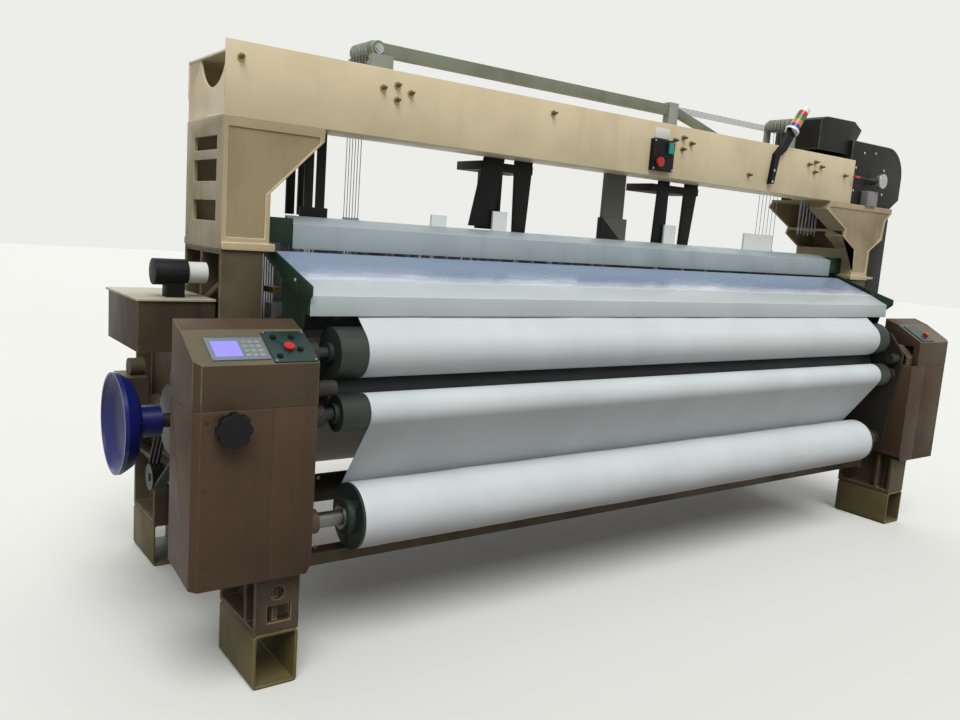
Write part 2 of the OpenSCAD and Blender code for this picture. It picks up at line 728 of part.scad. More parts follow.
// Clamp knob on the left cabinet's front, on a short stem
knob_x = -xo - 112;
knob_z = 884;
knob_stem_r = 9;
module clamp_knob() {
    y0 = yf - cab_reach;
    color("#141414") {
        rod_y(knob_x, y0 - knob_l + 30, knob_z, 24, knob_l - 30 - seat_gap);
        rod_y(knob_x, y0 - knob_l + 10, knob_z, knob_stem_r, knob_l + 26);
        difference() {
            rod_y(knob_x, y0 - knob_l, knob_z, knob_r, 32);
            for (a = [22.5:45:360]) translate([knob_x, 0, knob_z]) rotate([0, a, 0])
                rod_y(knob_r + 6, y0 - knob_l - eps, 0, 12, 40);
        }
    }
}

// Brackets on the side frames that carry the rollers and the cloth roll
bracket_x = xi - 22;
bracket_t = 22;
boss_c = [yf + 48, (upper_z + lower_z) / 2 - 4];
module roller_brackets() {
    journals = [upper_c, lower_c, surface_c];
    color("#4E4A3C") both_sides() difference() {
        union() {
            along_x(bracket_x - bracket_t, bracket_t) {
                polygon([roll_c + [-58, -40], roll_c + [0, -66], roll_c + [90, -40], [yf + 330, lower_c[1] - 150],
                    [yf + 360, front_top - 60], [yf + 330, front_top - 6], [yf + 196, front_top - 6],
                    [yf + 188, upper_z + 20], upper_c + [26, 42], upper_c + [-40, 30], boss_c + [-34, 30],
                    boss_c + [-34, -34], lower_c + [-46, -60], [yf + 50, lower_c[1] - 190], roll_c + [-70, 90]]);
            }
            block(bracket_x, yf + 210, riser_h + 300, 22, 120, front_rise - 340);
            for (c = journals) rod_x(bracket_x - bracket_t - 36, c, 40, 40);
            rod_x(bracket_x - bracket_t - 26, roll_c, 46, 30);
            rod_x(bracket_x - bracket_t - 70, boss_c, 26, 72);
        }
        for (c = journals) rod_x(bracket_x - bracket_t - 60, c, journal_r + run_gap, 90);
        rod_x(bracket_x - bracket_t - 60, roll_c, 22 + run_gap, 90);
    }
}

// Rubber-covered rollers on their journals
rubber_x = xi - rubber_inset;
module roller(c, r) {
    rod_x(-rubber_x, c, r, 2 * rubber_x);
    rod_x(-bracket_x + 4, c, journal_r, 2 * (bracket_x - 4));
    rod_x(-rubber_x - 14, c, journal_r + 14, 2 * (rubber_x + 14));
}
module press_roller_upper() { color("#22332C") roller(upper_c, press_r); }
module surface_roller() { color("#22332C") roller(surface_c, surface_r); }
module press_roller_lower() { color("#22332C") roller(lower_c, lower_r); }

// Cloth from the fell over the breast bar, round the rollers and to the roll
half_t = cloth_gap + cloth_t / 2;
fell_y = yf + 380;
fell_z = shed_z;
cloth_circles = [[[fell_y, fell_z], 0, 1], [bar_c, bar_r + half_t, 1], [upper_c, press_r + half_t, 1],
    [surface_c, surface_r + half_t, -1], [lower_c, lower_r + half_t, 1],
    [roll_c, roll_r + half_t, -1], [roll_c + [roll_r + 40, -40], 0, 1]];
cloth_run = [for (i = [0:4]) cloth_circles[i]];
roll_touch = let (h = heading(cloth_circles[4], cloth_circles[5])) side_pt(cloth_circles[5], h, 0);
module cloth_web() {
    color("#E4E6EA") along_x(-cloth_w / 2, cloth_w) strip(concat(cloth_run, [[roll_touch, 0, 1]]), cloth_t);
}

// Cloth roll, and the tube and flanges it is wound on
core_r = 41;
module cloth_roll() {
    color("#EEF0F0") difference() {
        rod_x(-cloth_w / 2, roll_c, roll_r, cloth_w);
        rod_x(-cloth_w / 2 - eps, roll_c, core_r, cloth_w + 2 * eps);
    }
}
module cloth_shaft() {
    x = cloth_w / 2;
    l = bracket_x - bracket_t - 28;
    color("#5A5E58") {
        rod_x(-x - 44, roll_c, core_r, 2 * (x + 44));
        rod_x(-l, roll_c, 27, 2 * l);
        rod_x(-bracket_x + 4, roll_c, 22, 2 * (bracket_x - 4));
        both_sides() {
            rod_x(x, roll_c, roll_r - 2, 10);
            rod_x(x + 10, roll_c, 62, 24);
            rod_x(l - 30, roll_c, 42, 30);
        }
    }
}

// Sley: rocking shaft, swords and beam, with the reed in its groove
reed_y = sley_c[0] + 26;
module sley() {
    span = 2 * xi - 130;
    color("#8E9494") {
        rod_x(-xo + 20, sley_c, rocker_r, 2 * xo - 40);
        for (i = [0:swords - 1]) along_x(-span / 2 + i * (span - 24) / (swords - 1), 24) {
            translate(sley_c) circle(48);
            polygon([sley_c + [-34, 0], sley_c + [42, 0],
                [reed_y + 24, sley_beam_z + 6], [reed_y - 22, sley_beam_z + 6]]);
        }
        difference() {
            block(-span / 2, reed_y - 30, sley_beam_z, span, 62, 48);
            block(-span / 2 - eps, reed_y - 6, sley_beam_z + 28, span + 2 * eps, 12, 30);
        }
    }
}
module reed() {
    l = 2 * xi - 300;
    pitch = (l - 60) / reed_gaps;
    z0 = sley_beam_z + 28;
    color("#A8ACB0") difference() {
        block(-l / 2, reed_y - 6, z0, l, 12, reed_h);
        for (i = [0:reed_gaps - 1])
            block(-l / 2 + 30 + (i + 0.25) * pitch, reed_y - 7, z0 + 24, pitch / 2, 14, reed_h - 38);
    }
}

// Crankshaft with its throws and the large pulley
pulley_x = -xo - 112;
pulley_t = 52;
module grooved_pulley(c, r, bore) {
    translate([pulley_x, c[0], c[1]]) rotate([0, 90, 0]) rotate_extrude() difference() {
        translate([bore, 0]) square([r - bore, pulley_t]);
        for (z = [5, 20, 35]) translate([r - 8, z]) square([9, 12]);
    }
}
module crankshaft() {
    color("#6A6E70") {
        rod_x(-xo - 170, crank_c, crank_r, 2 * xo + 168);
        grooved_pulley(crank_c, pulley_big_r, crank_r - 1);
        for (x = [-xi + 120, xi - 150]) rod_x(x, crank_c, 58, 30);
    }
}

// Dished handwheel at the crankshaft's left end
module handwheel() {
    hub = 30;
    color("#1E2C8C") translate([-xo - overhang, crank_c[0], crank_c[1]]) rotate([0, 90, 0]) rotate_extrude($fn = 96)
        polygon([[crank_r + run_gap, wheel_dish], [hub + 12, wheel_dish], [wheel_r - 40, wheel_dish - 26],
            [wheel_r - 12, 8], [wheel_r - 8, 0], [wheel_r, 0], [wheel_r, 14], [wheel_r - 22, wheel_dish - 12],
            [wheel_r - 60, wheel_dish + 8], [hub + 26, wheel_dish + 16], [hub + 26, wheel_dish + 90],
            [crank_r + run_gap, wheel_dish + 90]]);
}

// Motor inside the left frame, with its pulley outside
module motor() {
    x = -xi + 22;
    color("#3C4C44") {
        rod_x(x, motor_c, motor_r, motor_l);
        for (a = [0:15:345]) translate([x + 30, motor_c[0], motor_c[1]]) rotate([a, 0, 0])
            translate([0, -2, motor_r - 4]) cube([motor_l - 60, 4, 12]);
        rod_x(x - 8, motor_c, motor_r + 14, 8);
        block(-xi, motor_c[0] - 60, motor_z - 30, 14, 120, 60);
        rod_x(-xo - 118, motor_c, 14, xo - xi + 140);
        block(x + 60, motor_c[0] - 45, motor_z + motor_r - 10, 90, 90, 44);
    }
}
module motor_pulley() { color("#55595A") grooved_pulley(motor_c, pulley_small_r, 14 + run_gap); }

// Drive belts in the pulleys' grooves
belt_rise = 0.7;
belt_t = 9;
module drive_belt() {
    ra = pulley_big_r - 8 + belt_rise;
    rb = pulley_small_r - 8 + belt_rise;
    d = motor_c - crank_c;
    h = atan2(d[1], d[0]);
    k = acos((ra - rb) / norm(d));
    function arc(c, r, a, b) = [for (i = [0:24]) c + r * [cos(a + (b - a) * i / 24), sin(a + (b - a) * i / 24)]];
    function loop(e) = concat(arc(crank_c, ra + e, h + k, h + 360 - k), arc(motor_c, rb + e, h - k, h + k));
    color("#1C1C1C") for (z = [5, 20, 35]) along_x(pulley_x + z + 1, 10) difference() {
        polygon(loop(belt_t));
        polygon(loop(0));
    }
}

// Heald frames with their healds and lifting hooks
module heald_frame(i) {
    y = heald_y(i);
    z1 = heald_z + heald_h;
    pitch = (heald_w - 120) / (healds - 1);
    color("#A2A6AA") difference() {
        union() {
            for (z = [heald_z, z1 - rail_h]) block(-heald_w / 2, y, z, heald_w, heald_t, rail_h);
            for (x = [-heald_w / 2, heald_w / 2 - 22]) block(x, y, heald_z, 22, heald_t, heald_h);
            for (k = [0:healds - 1])
                block(-heald_w / 2 + 60 + k * pitch - 1.5, y + heald_t / 2 - 1, heald_z, 3, 2, heald_h);
            for (x = cable_xs)
                translate([x, y + heald_t / 2, z1 - 2]) cylinder(r = hook_r - 1, h = hook_h + 2);
        }
        for (x = cable_xs)
            translate([x, y + heald_t / 2, z1 + 2]) cylinder(r = hook_bore_r, h = hook_h);
    }
}
module heald_frame_1() { heald_frame(0); }
module heald_frame_2() { heald_frame(1); }
module heald_frame_3() { heald_frame(2); }
module heald_frame_4() { heald_frame(3); }
module heald_frame_5() { heald_frame(4); }
module heald_frame_6() { heald_frame(5); }

// Lifting cables: up from the hooks, over the sheaves and into the dobby's arm box
module heald_cables() {
    color("#70747A") for (i = [0:heald_n - 1], c = [[sheave_x, harness_z], [rack_x, rack_z]])
        translate([c[0], heald_y(i) + heald_t / 2, 0]) {
            translate([-cable_in, 0, cable_end_z]) cylinder(r = cable_r, h = c[1] - cable_end_z);
            translate([0, 0, c[1]]) rotate([90, 0, 0]) rotate([0, 0, 90])
                rotate_extrude(angle = 90) translate([cable_in, 0]) circle(cable_r, $fn = 16);
            translate([0, 0, c[1] + cable_in]) rotate([0, 90, 0]) cylinder(r = cable_r, h = arm_x0 - c[0]);
        }
}

// Guides of the heald frames, hung from the beam, measured from the left frame's outer face.
// Front bars: [x at the top, width, x at the lower end, width, drop]. Rear bars: [x, width].
guide_bars = [[366, 34, 366, 34, 284], [414, 34, 414, 34, 284], [1177, 105, 1119, 116, 292],
    [1341, 97, 1354, 67, 320], [2251, 76, 2238, 72, 330], [2445, 95, 2434, 68, 330]];
guide_rears = [[366, 34], [414, 34], [1270, 130], [2430, 75]];
guide_heads = [[366, 82], [1155, 285], [2200, 345]];
guide_stock = 14;
guide_pad = [1879, 130, 260];
guide_shoe = [1866, 165, 336, 130];
module heald_guides() {
    yg = column_y + beam_flange_d - guide_stock;
    yr = heald_back + 14;
    color("#1E2224") {
        for (b = guide_bars) along_y(yg, guide_stock) translate([-xo, beam_z])
            polygon([[b[0], 0], [b[0] + b[1], 0], [b[2] + b[3], -b[4]], [b[2], -b[4]]]);
        for (b = guide_rears) block(b[0] - xo, yr, beam_z - 300, b[1], guide_stock, 270);
        for (g = guide_heads) block(g[0] - xo, yg, beam_z - 54, g[1], yr + guide_stock - yg, 36);
        block(352 - xo, yg, beam_z - 340, 110, guide_stock, 70);
        block(guide_pad[0] - xo, yg - 10, beam_z - guide_pad[2], guide_pad[1], guide_stock + 10, guide_pad[2]);
        block(guide_shoe[0] - xo, yg - 16, beam_z - guide_shoe[2], guide_shoe[1], guide_stock + 16, guide_shoe[3]);
    }
}

// Harness bar on the beam, with the sheaves' axle at its left end and a brace at its right end
module harness_bar() {
    x0 = sheave_x;
    x1 = 270;
    rack_y = heald_y(0) - 28;
    color("#6E7A62") {
        along_y(harness_y, harness_t) {
            translate([x0, harness_z - harness_h / 2]) square([x1 - x0, harness_h]);
            translate([x0, harness_z]) circle(harness_h / 2 + 6);
            polygon([[x1 + 40, harness_z + 25], [x1 + 40, harness_z - 18],
                [x1 + 500, beam_deck], [x1 + 620, beam_deck]]);
        }
        rod_y(x0, harness_y, harness_z, axle_r, heald_back + 20 - harness_y);
        rod_y(rack_x, rack_y, rack_z, axle_r, heald_back + 20 - rack_y);
        for (y = [rack_y, heald_back + 8]) along_y(y, 14) {
            translate([rack_x - 24, beam_deck]) square([48, rack_z - beam_deck]);
            translate([rack_x, rack_z]) circle(24);
        }
    }
    color("#8A9088") {
        difference() {
            block(x0 - 26, harness_y - 6, beam_deck, 90, heald_back + 30 - harness_y, harness_z - beam_deck - 20);
            block(x0 - 50, harness_y + harness_t, beam_deck + 12, 130, heald_back + 8 - harness_y - harness_t, 130);
        }
        block(x0 - 16, heald_back + 8, beam_deck, 32, 16, harness_z - beam_deck + 14);
        block(x1, harness_y - 6, beam_deck, 60, harness_t + 12, harness_z - beam_deck + 36);
    }
}
module harness_pulleys() {
    color("#5E665C") for (i = [0:heald_n - 1], c = [[sheave_x, harness_z], [rack_x, rack_z]]) {
        last = i == heald_n - 1;
        translate([c[0], heald_y(i), c[1]]) rotate([-90, 0, 0]) {
            rotate_extrude() difference() {
                translate([axle_r + run_gap, 0]) square([sheave_r - axle_r - run_gap, sheave_t]);
                translate([groove_r, 2.5]) square([10, sheave_t - 5]);
            }
            rotate_extrude() translate([axle_r + run_gap, sheave_t])
                square([5, last ? 4 : heald_pitch - sheave_t]);
        }
    }
}

// Dobby: the rounded housing on the right upright, and the arm box over the beam. Both are
// castings that are open underneath.
dobby_r = 175;
dobby_wall = 10;
arm_y = dobby_y + 30;
arm_d = dobby_d - 150;
function arm_outline(e) = [[arm_x0 + e, arm_top - arm_h - (e > 0 ? eps : 0)], [arm_x0 + e, arm_top - 24 - e],
    [arm_x0 + 60, arm_top - 6 - e], [arm_x0 + 330, arm_top - e], [arm_x0 + 410, arm_top - 40 - e],
    [dobby_x0 + 60 - e, dobby_top - 20 - e], [dobby_x0 + 60 - e, arm_top - arm_h - (e > 0 ? eps : 0)]];
module dobby_outline(e) {
    x1 = dobby_x1 - e;
    z1 = dobby_top - e;
    r = dobby_r - e;
    translate([dobby_x0 + e, beam_z]) square([x1 - dobby_x0 - r - e, z1 - beam_z]);
    translate([dobby_x0 + e, beam_z + 60]) square([x1 - dobby_x0 - e, z1 - beam_z - 60 - r]);
    translate([x1 - r, z1 - r]) circle(r, $fn = 96);
    polygon([[x1 - 2 * r, beam_z], [dobby_x1 - 90 - e, beam_z], [x1, beam_z + 61], [x1 - 2 * r, beam_z + 61]]);
}
module dobby_body() {
    x2 = xo + branch_out - 6;
    color("#17181A") {
        difference() {
            union() {
                along_y(dobby_y, dobby_d) dobby_outline(0);
                along_y(arm_y, arm_d) polygon(arm_outline(0));
            }
            along_y(arm_y + dobby_wall, arm_d - 2 * dobby_wall) polygon(arm_outline(dobby_wall));
            intersection() {
                along_y(dobby_y + dobby_wall, dobby_d - 2 * dobby_wall) dobby_outline(dobby_wall);
                block(dobby_x0, dobby_y, beam_z - eps, x2 - dobby_x0, dobby_d, dobby_top - beam_z);
            }
        }
    }
    color("#8C8C8A") block(xo - 118, dobby_y - 44, beam_z, 104, 44, 84);
    color("#BFC2C4") rod_y(lever_c[0], lever_y, lever_c[1], 20, dobby_y - lever_y);
}
lever_c = [xo - 24, beam_z + 148];
lever_y = column_y - 34;
module dobby_lever() {
    color("silver") {
        difference() {
            rod_y(lever_c[0], lever_y - 8, lever_c[1], 42, 30);
            rod_y(lever_c[0], lever_y - 1, lever_c[1], 20 + run_gap, 40);
        }
        block(lever_c[0] - 250, lever_y, lever_c[1] - 5, 230, 8, 10);
        rod_x(lever_c[0] - 290, [lever_y + 4, lever_c[1]], 8, 50);
    }
}
// Case over the chain from the crankshaft to the dobby, behind the right upright's front plate
case_y = column_y + rim_h + plate + 3;
case_d = 250;
case_out = 200;
module dobby_drive_case() {
    r = case_d / 2;
    z1 = beam_z - plate - 2;
    color("#202224") intersection() {
        along_x(xo, case_out) {
            translate([case_y, crank_z]) square([case_d, z1 - crank_z]);
            translate([case_y + r, crank_z]) circle(r);
        }
        along_y(case_y - eps, case_d + 2 * eps) {
            translate([xo, crank_z - r - eps]) square([case_out + 10, z1 - 50 - crank_z + r + eps]);
            translate([xo, z1 - 60]) square([case_out - 48, 60]);
            translate([xo + case_out - 48, z1 - 50]) circle(50);
        }
    }
}

// Warp beam with its wound yarn
barrel_r = 90;
warp_x = xi - 95;
module warp_beam() {
    color("#9A9EA2") {
        rod_x(-warp_x, warp_c, barrel_r, 2 * warp_x);
        rod_x(-xo + 30, warp_c, 30, 2 * xo - 60);
        both_sides() difference() {
            union() {
                rod_x(warp_x - 16, warp_c, warp_flange_r, 16);
                rod_x(warp_x, warp_c, 120, 40);
            }
            for (a = [0:60:300]) translate([0, warp_c[0], warp_c[1]]) rotate([a, 0, 0])
                rod_x(warp_x - 20, [0, warp_flange_r - 62], 26, 30);
        }
    }
}
module warp_yarn() {
    color("#E8E8E4") difference() {
        rod_x(-warp_x + 16, warp_c, warp_r, 2 * warp_x - 32);
        rod_x(-warp_x + 15, warp_c, barrel_r, 2 * warp_x - 30);
    }
}

// Back rest roller on brackets at the rear of the side frames
module back_rest() {
    color("#B4B8BC") {
        rod_x(-xi + 40, rest_c, rest_r, inner_w - 80);
        rod_x(-xi - 20, rest_c, 20, inner_w + 40);
    }
}
module back_rest_brackets() {
    color("#7E6E54") both_sides() difference() {
        union() {
            along_x(xi + 4, 30) polygon([rest_c + [-70, rear_top - rest_z], rest_c + [60, rear_top - rest_z],
                rest_c + [46, 20], rest_c + [20, 46], rest_c + [-20, 46], rest_c + [-46, 20]]);
            block(xi + 4, rest_c[0] - 90, rear_top, 90, 150, 14);
        }
        rod_x(xi, rest_c, 20 + run_gap, 40);
    }
}

// Warp sheet from the beam over the back rest and forward to the heald frames
warp_gap = 0.5;
sheet_x = 1640;
yarn_t = 1;
module warp_sheet() {
    h = warp_gap + yarn_t / 2;
    top = [warp_c, warp_r + h, 1];
    over = [rest_c, rest_r + h, 1];
    start = let (a = heading(top, over)) side_pt(top, a, 0);
    color("#DADADC") along_x(-sheet_x, 2 * sheet_x)
        strip([[start, 0, 1], over, [[heald_back + 6, shed_z], 0, 1]], yarn_t);
}

// Let-off gear box at the left end of the warp beam
module let_off_box() {
    color("#6C6450") difference() {
        block(-xo - 96, warp_c[0] - 95, warp_z - 90, 96, 190, 250);
        rod_x(-xo - 40, warp_c, 60, 60);
    }
    color("#3C4C44") rod_x(-xo - 60, warp_c + [0, 190], 40, 60);
}

// Signal tower on a bent arm, leaning to the right
tower_x = 2890;
tower_lean = 37;
module signal_tower() {
    y = column_y - 24;
    x = tower_x - xo;
    z = beam_top - 200;
    color("#161616") {
        along_y(y, 24) polygon([[x - 14, z - 4], [x + 17, z - 2], [x + 42, z + 140], [x + 92, z + 176],
            [x + 150, z + 262], [x + 108, z + 290], [x + 56, z + 200], [x + 6, z + 150]]);
    }
    translate([x + 129, y + 12, z + 276]) rotate([0, tower_lean, 0]) {
        color("white") cylinder(r = 37, h = 14);
        lamps = ["blue", "orange", "green", "red", "white"];
        for (i = [0:4]) color(lamps[i]) translate([0, 0, 14 + i * 30]) cylinder(r = 26 + 1.2 * (i % 2), h = 30);
    }
}

// Switch box on the beam, with a number plate above it and two buttons
box_setover = 1988;
box_x = box_setover - xo;
box_z = beam_top - 220;
box_w = 140;
box_h = 142;
red_at = [box_x + 36, box_z + 38];
green_at = [box_x + 104, box_z + 106];
box_t = 24;
module switch_box() {
    color("#1A1A1A") difference() {
        block(box_x, column_y - box_t, box_z, box_w, box_t, box_h);
        rod_y(red_at[0], column_y - box_t - eps, red_at[1], 9 + button_gap, 20);
        rod_y(green_at[0], column_y - box_t - eps, green_at[1], 9 + button_gap, 20);
    }
    color("white") block(box_x + 20, column_y - 4, box_z + box_h + 6, 96, 4, 46);
    color("#1A1A1A") block(box_x + 60, column_y - 4, box_z + box_h, 16, 4, 6);
}
module red_button() {
    color("red") {
        rod_y(red_at[0], column_y - box_t - 10, red_at[1], 9, 24);
        rod_y(red_at[0], column_y - box_t - 20, red_at[1], 22, 12);
    }
}
module green_button() {
    color("#1F8A78") {
        rod_y(green_at[0], column_y - box_t - 6, green_at[1], 9, 20);
        block(green_at[0] - 14, column_y - box_t - 14, green_at[1] - 25, 28, 9, 50);
    }
}

// Box with a flat top at the left side, with the weft feeder on it and the pump under it
side_w = 252;
side_d = 400;
side_h = 170;
side_x = -xo - side_w;
side_y = yf + 440;
side_top = 1205;
module side_box() {
    color("#8A7A5C") {
        difference() {
            block(side_x, side_y, side_top - side_h, side_w, side_d, side_h);
            block(side_x + 4, side_y + 4, side_top - side_h - eps, side_w, side_d - 8, side_h - 5 + eps);
        }
        block(side_x - 8, side_y - 8, side_top, side_w + 8, side_d + 16, 8);
        block(-xo - 12, side_y + 20, side_top - side_h - eps, 12, 60, 60);
    }
}
module water_pump() {
    y = side_y + 300;
    color("#8E7A3C") {
        rod_x(-xo - 150, [y, side_top - 60], 34, 110);
        block(-xo - 128, y - 30, side_top - 98, 128, 60, 34);
        rod_x(-xo - 206, [y, side_top - 60], 20, 56);
    }
    color("#B08A3A") {
        rod_x(-xi + cover_inset - 20, [yf + 424, bar_z + 40], 9, 56);
        block(-xi + cover_inset - 40, yf + 350, bar_z + 30, 40, 84, 20);
    }
}
module weft_feeder() {
    c = [side_y + 70, side_top + 8 + 84];
    color("#26282A") {
        block(-xo - 150, c[0] - 26, side_top + 8, 60, 52, 60);
        rod_x(-xo - 190, c, 44, 110);
    }
    color("#D8D8D4") rod_x(-xo - 80, c, 36, 66);
    color("#26282A") rod_x(-xo - 88, c, 40, 10);
}

riser_blocks();
side_frame_left();
side_frame_right();
upright_left();
upright_right();
top_beam();
beam_bolts();
cross_rails();
cover_brackets();
breast_bar();
front_cover();
splash_guard();
reed_cover();
cabinet_left();
cap_left();
control_panel();
panel_button();
clamp_knob();
cabinet_right();
cap_right();
roller_brackets();
press_roller_upper();
surface_roller();
press_roller_lower();
cloth_web();
cloth_roll();
cloth_shaft();
sley();
reed();
crankshaft();
handwheel();
motor();
motor_pulley();
drive_belt();
heald_frame_1();
heald_frame_2();
heald_frame_3();
heald_frame_4();
heald_frame_5();
heald_frame_6();
heald_cables();
heald_guides();
harness_bar();
harness_pulleys();
dobby_body();
dobby_lever();
dobby_drive_case();
warp_beam();
warp_yarn();
back_rest();
back_rest_brackets();
warp_sheet();
let_off_box();
signal_tower();
switch_box();
red_button();
green_button();
side_box();
water_pump();
weft_feeder();
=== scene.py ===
"""Looks of a wide shuttleless loom with a dobby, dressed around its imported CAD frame.

Everything is in metres, in the frame of the CAD: +X to the weaver's right, +Y towards the
warp beam, +Z up. Each sub-assembly is a class that builds and dresses its own pieces.
"""

import json
import logging
import math
from collections.abc import Callable, Sequence
from dataclasses import dataclass
from enum import Enum
from functools import partial
from typing import ClassVar

import bmesh
import bpy
import numpy as np
from mathutils import Matrix, Vector, noise


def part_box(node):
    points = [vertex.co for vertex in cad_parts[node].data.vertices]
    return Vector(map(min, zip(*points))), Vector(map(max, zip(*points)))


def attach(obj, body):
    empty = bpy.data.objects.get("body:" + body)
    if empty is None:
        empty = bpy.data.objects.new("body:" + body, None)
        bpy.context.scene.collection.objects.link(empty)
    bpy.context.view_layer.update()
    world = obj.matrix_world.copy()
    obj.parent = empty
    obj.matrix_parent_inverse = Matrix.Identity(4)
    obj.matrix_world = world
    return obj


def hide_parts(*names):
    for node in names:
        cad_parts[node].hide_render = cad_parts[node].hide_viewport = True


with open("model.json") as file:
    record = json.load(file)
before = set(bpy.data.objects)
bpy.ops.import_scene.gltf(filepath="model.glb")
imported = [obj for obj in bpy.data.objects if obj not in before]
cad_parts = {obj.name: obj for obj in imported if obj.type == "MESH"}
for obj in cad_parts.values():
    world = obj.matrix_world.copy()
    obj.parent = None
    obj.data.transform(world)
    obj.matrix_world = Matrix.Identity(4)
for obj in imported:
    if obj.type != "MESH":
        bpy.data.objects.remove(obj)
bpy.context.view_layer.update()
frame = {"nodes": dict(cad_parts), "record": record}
LOG = logging.getLogger("loom")
COLUMN_Y = -0.417  # the front face of the uprights and the beam
MM = 0.001
EDGE = "edge"  # the face attribute that marks a rounded edge
FRONT = (0, -1, 0)  # towards the weaver
RANGE = "ShaderNodeMapRange"
MIX = "ShaderNodeMix"
MATH = "ShaderNodeMath"

Tree = bpy.types.NodeTree
Socket = bpy.types.NodeSocket
Outputs = bpy.types.bpy_prop_collection
Mesh = bpy.types.Mesh
Piece = bpy.types.Object
Triple = tuple[float, float, float]


# Colours, nodes and finishes


def linear(code: str, share: float = 1.0) -> tuple[float, float, float, float]:
    """Turns an sRGB hex colour into linear values with an alpha of 1.

    Args:
        code: the colour, such as "#C8BE9E".
        share: how bright the result is beside that colour.

    Returns:
        Red, green, blue and alpha.
    """
    parts = [int(code[i : i + 2], 16) / 255 for i in (1, 3, 5)]
    found = [c / 12.92 if c <= 0.04045 else ((c + 0.055) / 1.055) ** 2.4 for c in parts]
    red, green, blue = (min(1.0, c * share) for c in found)
    return red, green, blue, 1.0


def feed(tree: Tree, node: bpy.types.Node, inputs: dict) -> None:
    """Fills a node's inputs.

    Args:
        tree: the node tree that the node is in.
        node: the node.
        inputs: a value for each input, the socket that feeds it, or a list of sockets.
    """
    for key, given in inputs.items():
        for value in given if isinstance(given, list) else [given]:
            if isinstance(value, Socket):
                tree.links.new(value, node.inputs[key])
            else:
                node.inputs[key].default_value = value


def add(tree: Tree, kind: str, inputs: dict | None = None, **settings: str) -> Outputs:
    """Adds a node with its settings and links.

    Args:
        tree: the node tree that gets the node.
        kind: the node's type.
        inputs: what goes into it, as feed() takes it.
        settings: attributes of the node itself.

    Returns:
        The node's outputs.
    """
    node = tree.nodes.new(kind)
    for key, value in settings.items():
        setattr(node, key, value)
    feed(tree, node, inputs or {})
    return node.outputs


def grain(
    tree: Tree, where: Socket, size_mm: float, stretch: Triple = (1, 1, 1), detail: float = 4
) -> Socket:
    """Adds noise whose patches have a real size.

    Args:
        tree: the node tree.
        where: the coordinates at which the noise is read.
        size_mm: the width of its patches in millimetres.
        stretch: how many times finer it is along each axis.
        detail: its number of octaves.

    Returns:
        The noise, about 0.5 in the middle.
    """
    spot = add(tree, "ShaderNodeMapping", {"Vector": where, "Scale": stretch})[0]
    sizes = {"Vector": spot, "Scale": 1 / (size_mm * MM), "Detail": detail}
    return add(tree, "ShaderNodeTexNoise", sizes)[0]


def ridges(tree: Tree, where: Socket, across: str, pitch_mm: float, bend: float) -> Socket:
    """Adds parallel ridges with a real spacing.

    Args:
        tree: the node tree.
        where: the coordinates at which they are read.
        across: the axis that they follow each other along.
        pitch_mm: the distance from one to the next in millimetres.
        bend: how far they wander.

    Returns:
        Their height, from 0 to 1.
    """
    waves_per_unit = 20 / math.tau
    scale = 1 / (pitch_mm * MM) / waves_per_unit
    inputs = {"Vector": where, "Scale": scale, "Distortion": bend}
    return add(tree, "ShaderNodeTexWave", inputs, bands_direction=across)[1]


@dataclass(frozen=True)
class Finish:
    """What a surface is made of.

    Attributes:
        reads: the coordinates that its pattern follows.
        name: the material's common name and how its surface was made.
        slot: the record's material slot.
        colour: its main colour, sRGB hex.
        rough: its roughness.
    """

    reads: ClassVar[str] = "Object"
    name: str
    slot: str
    colour: str
    rough: float

    def material(self) -> bpy.types.Material:
        """Returns the material of this finish, which is made once."""
        found = bpy.data.materials.get(self.name)
        if found:
            return found
        mat = bpy.data.materials.new(self.name)
        mat.use_nodes = True
        tree = mat.node_tree
        shader = tree.nodes["Principled BSDF"]
        feed(tree, shader, {"Base Color": linear(self.colour), "Roughness": self.rough})
        feed(tree, shader, self.surface(tree, add(tree, "ShaderNodeTexCoord")[self.reads]))
        return mat

    def surface(self, tree: Tree, where: Socket) -> dict:
        """Makes what is special to the finish.

        Args:
            tree: the material's node tree.
            where: the coordinates that its pattern follows.

        Returns:
            Inputs of the Principled BSDF.
        """
        return {}

    def uneven(self, tree: Tree, pattern: Socket, low: float, high: float, more: float) -> Socket:
        """Lets the roughness rise with a pattern.

        Args:
            tree: the material's node tree.
            pattern: the pattern.
            low: its value where the roughness is the finish's own.
            high: its value where the roughness is highest.
            more: how much rougher that is.

        Returns:
            The roughness.
        """
        top = min(1, self.rough + more)
        return add(tree, RANGE, {0: pattern, 1: low, 2: high, 3: self.rough, 4: top})[0]

    @staticmethod
    def relief(tree: Tree, height: Socket, depth_mm: float, strength: float) -> Socket:
        """Makes a relief of a real depth.

        Args:
            tree: the material's node tree.
            height: its height, from 0 to 1.
            depth_mm: its depth in millimetres.
            strength: how strongly it shows.

        Returns:
            The surface's normal.
        """
        inputs = {"Strength": strength, "Distance": depth_mm * MM, "Height": height}
        return add(tree, "ShaderNodeBump", inputs)[0]


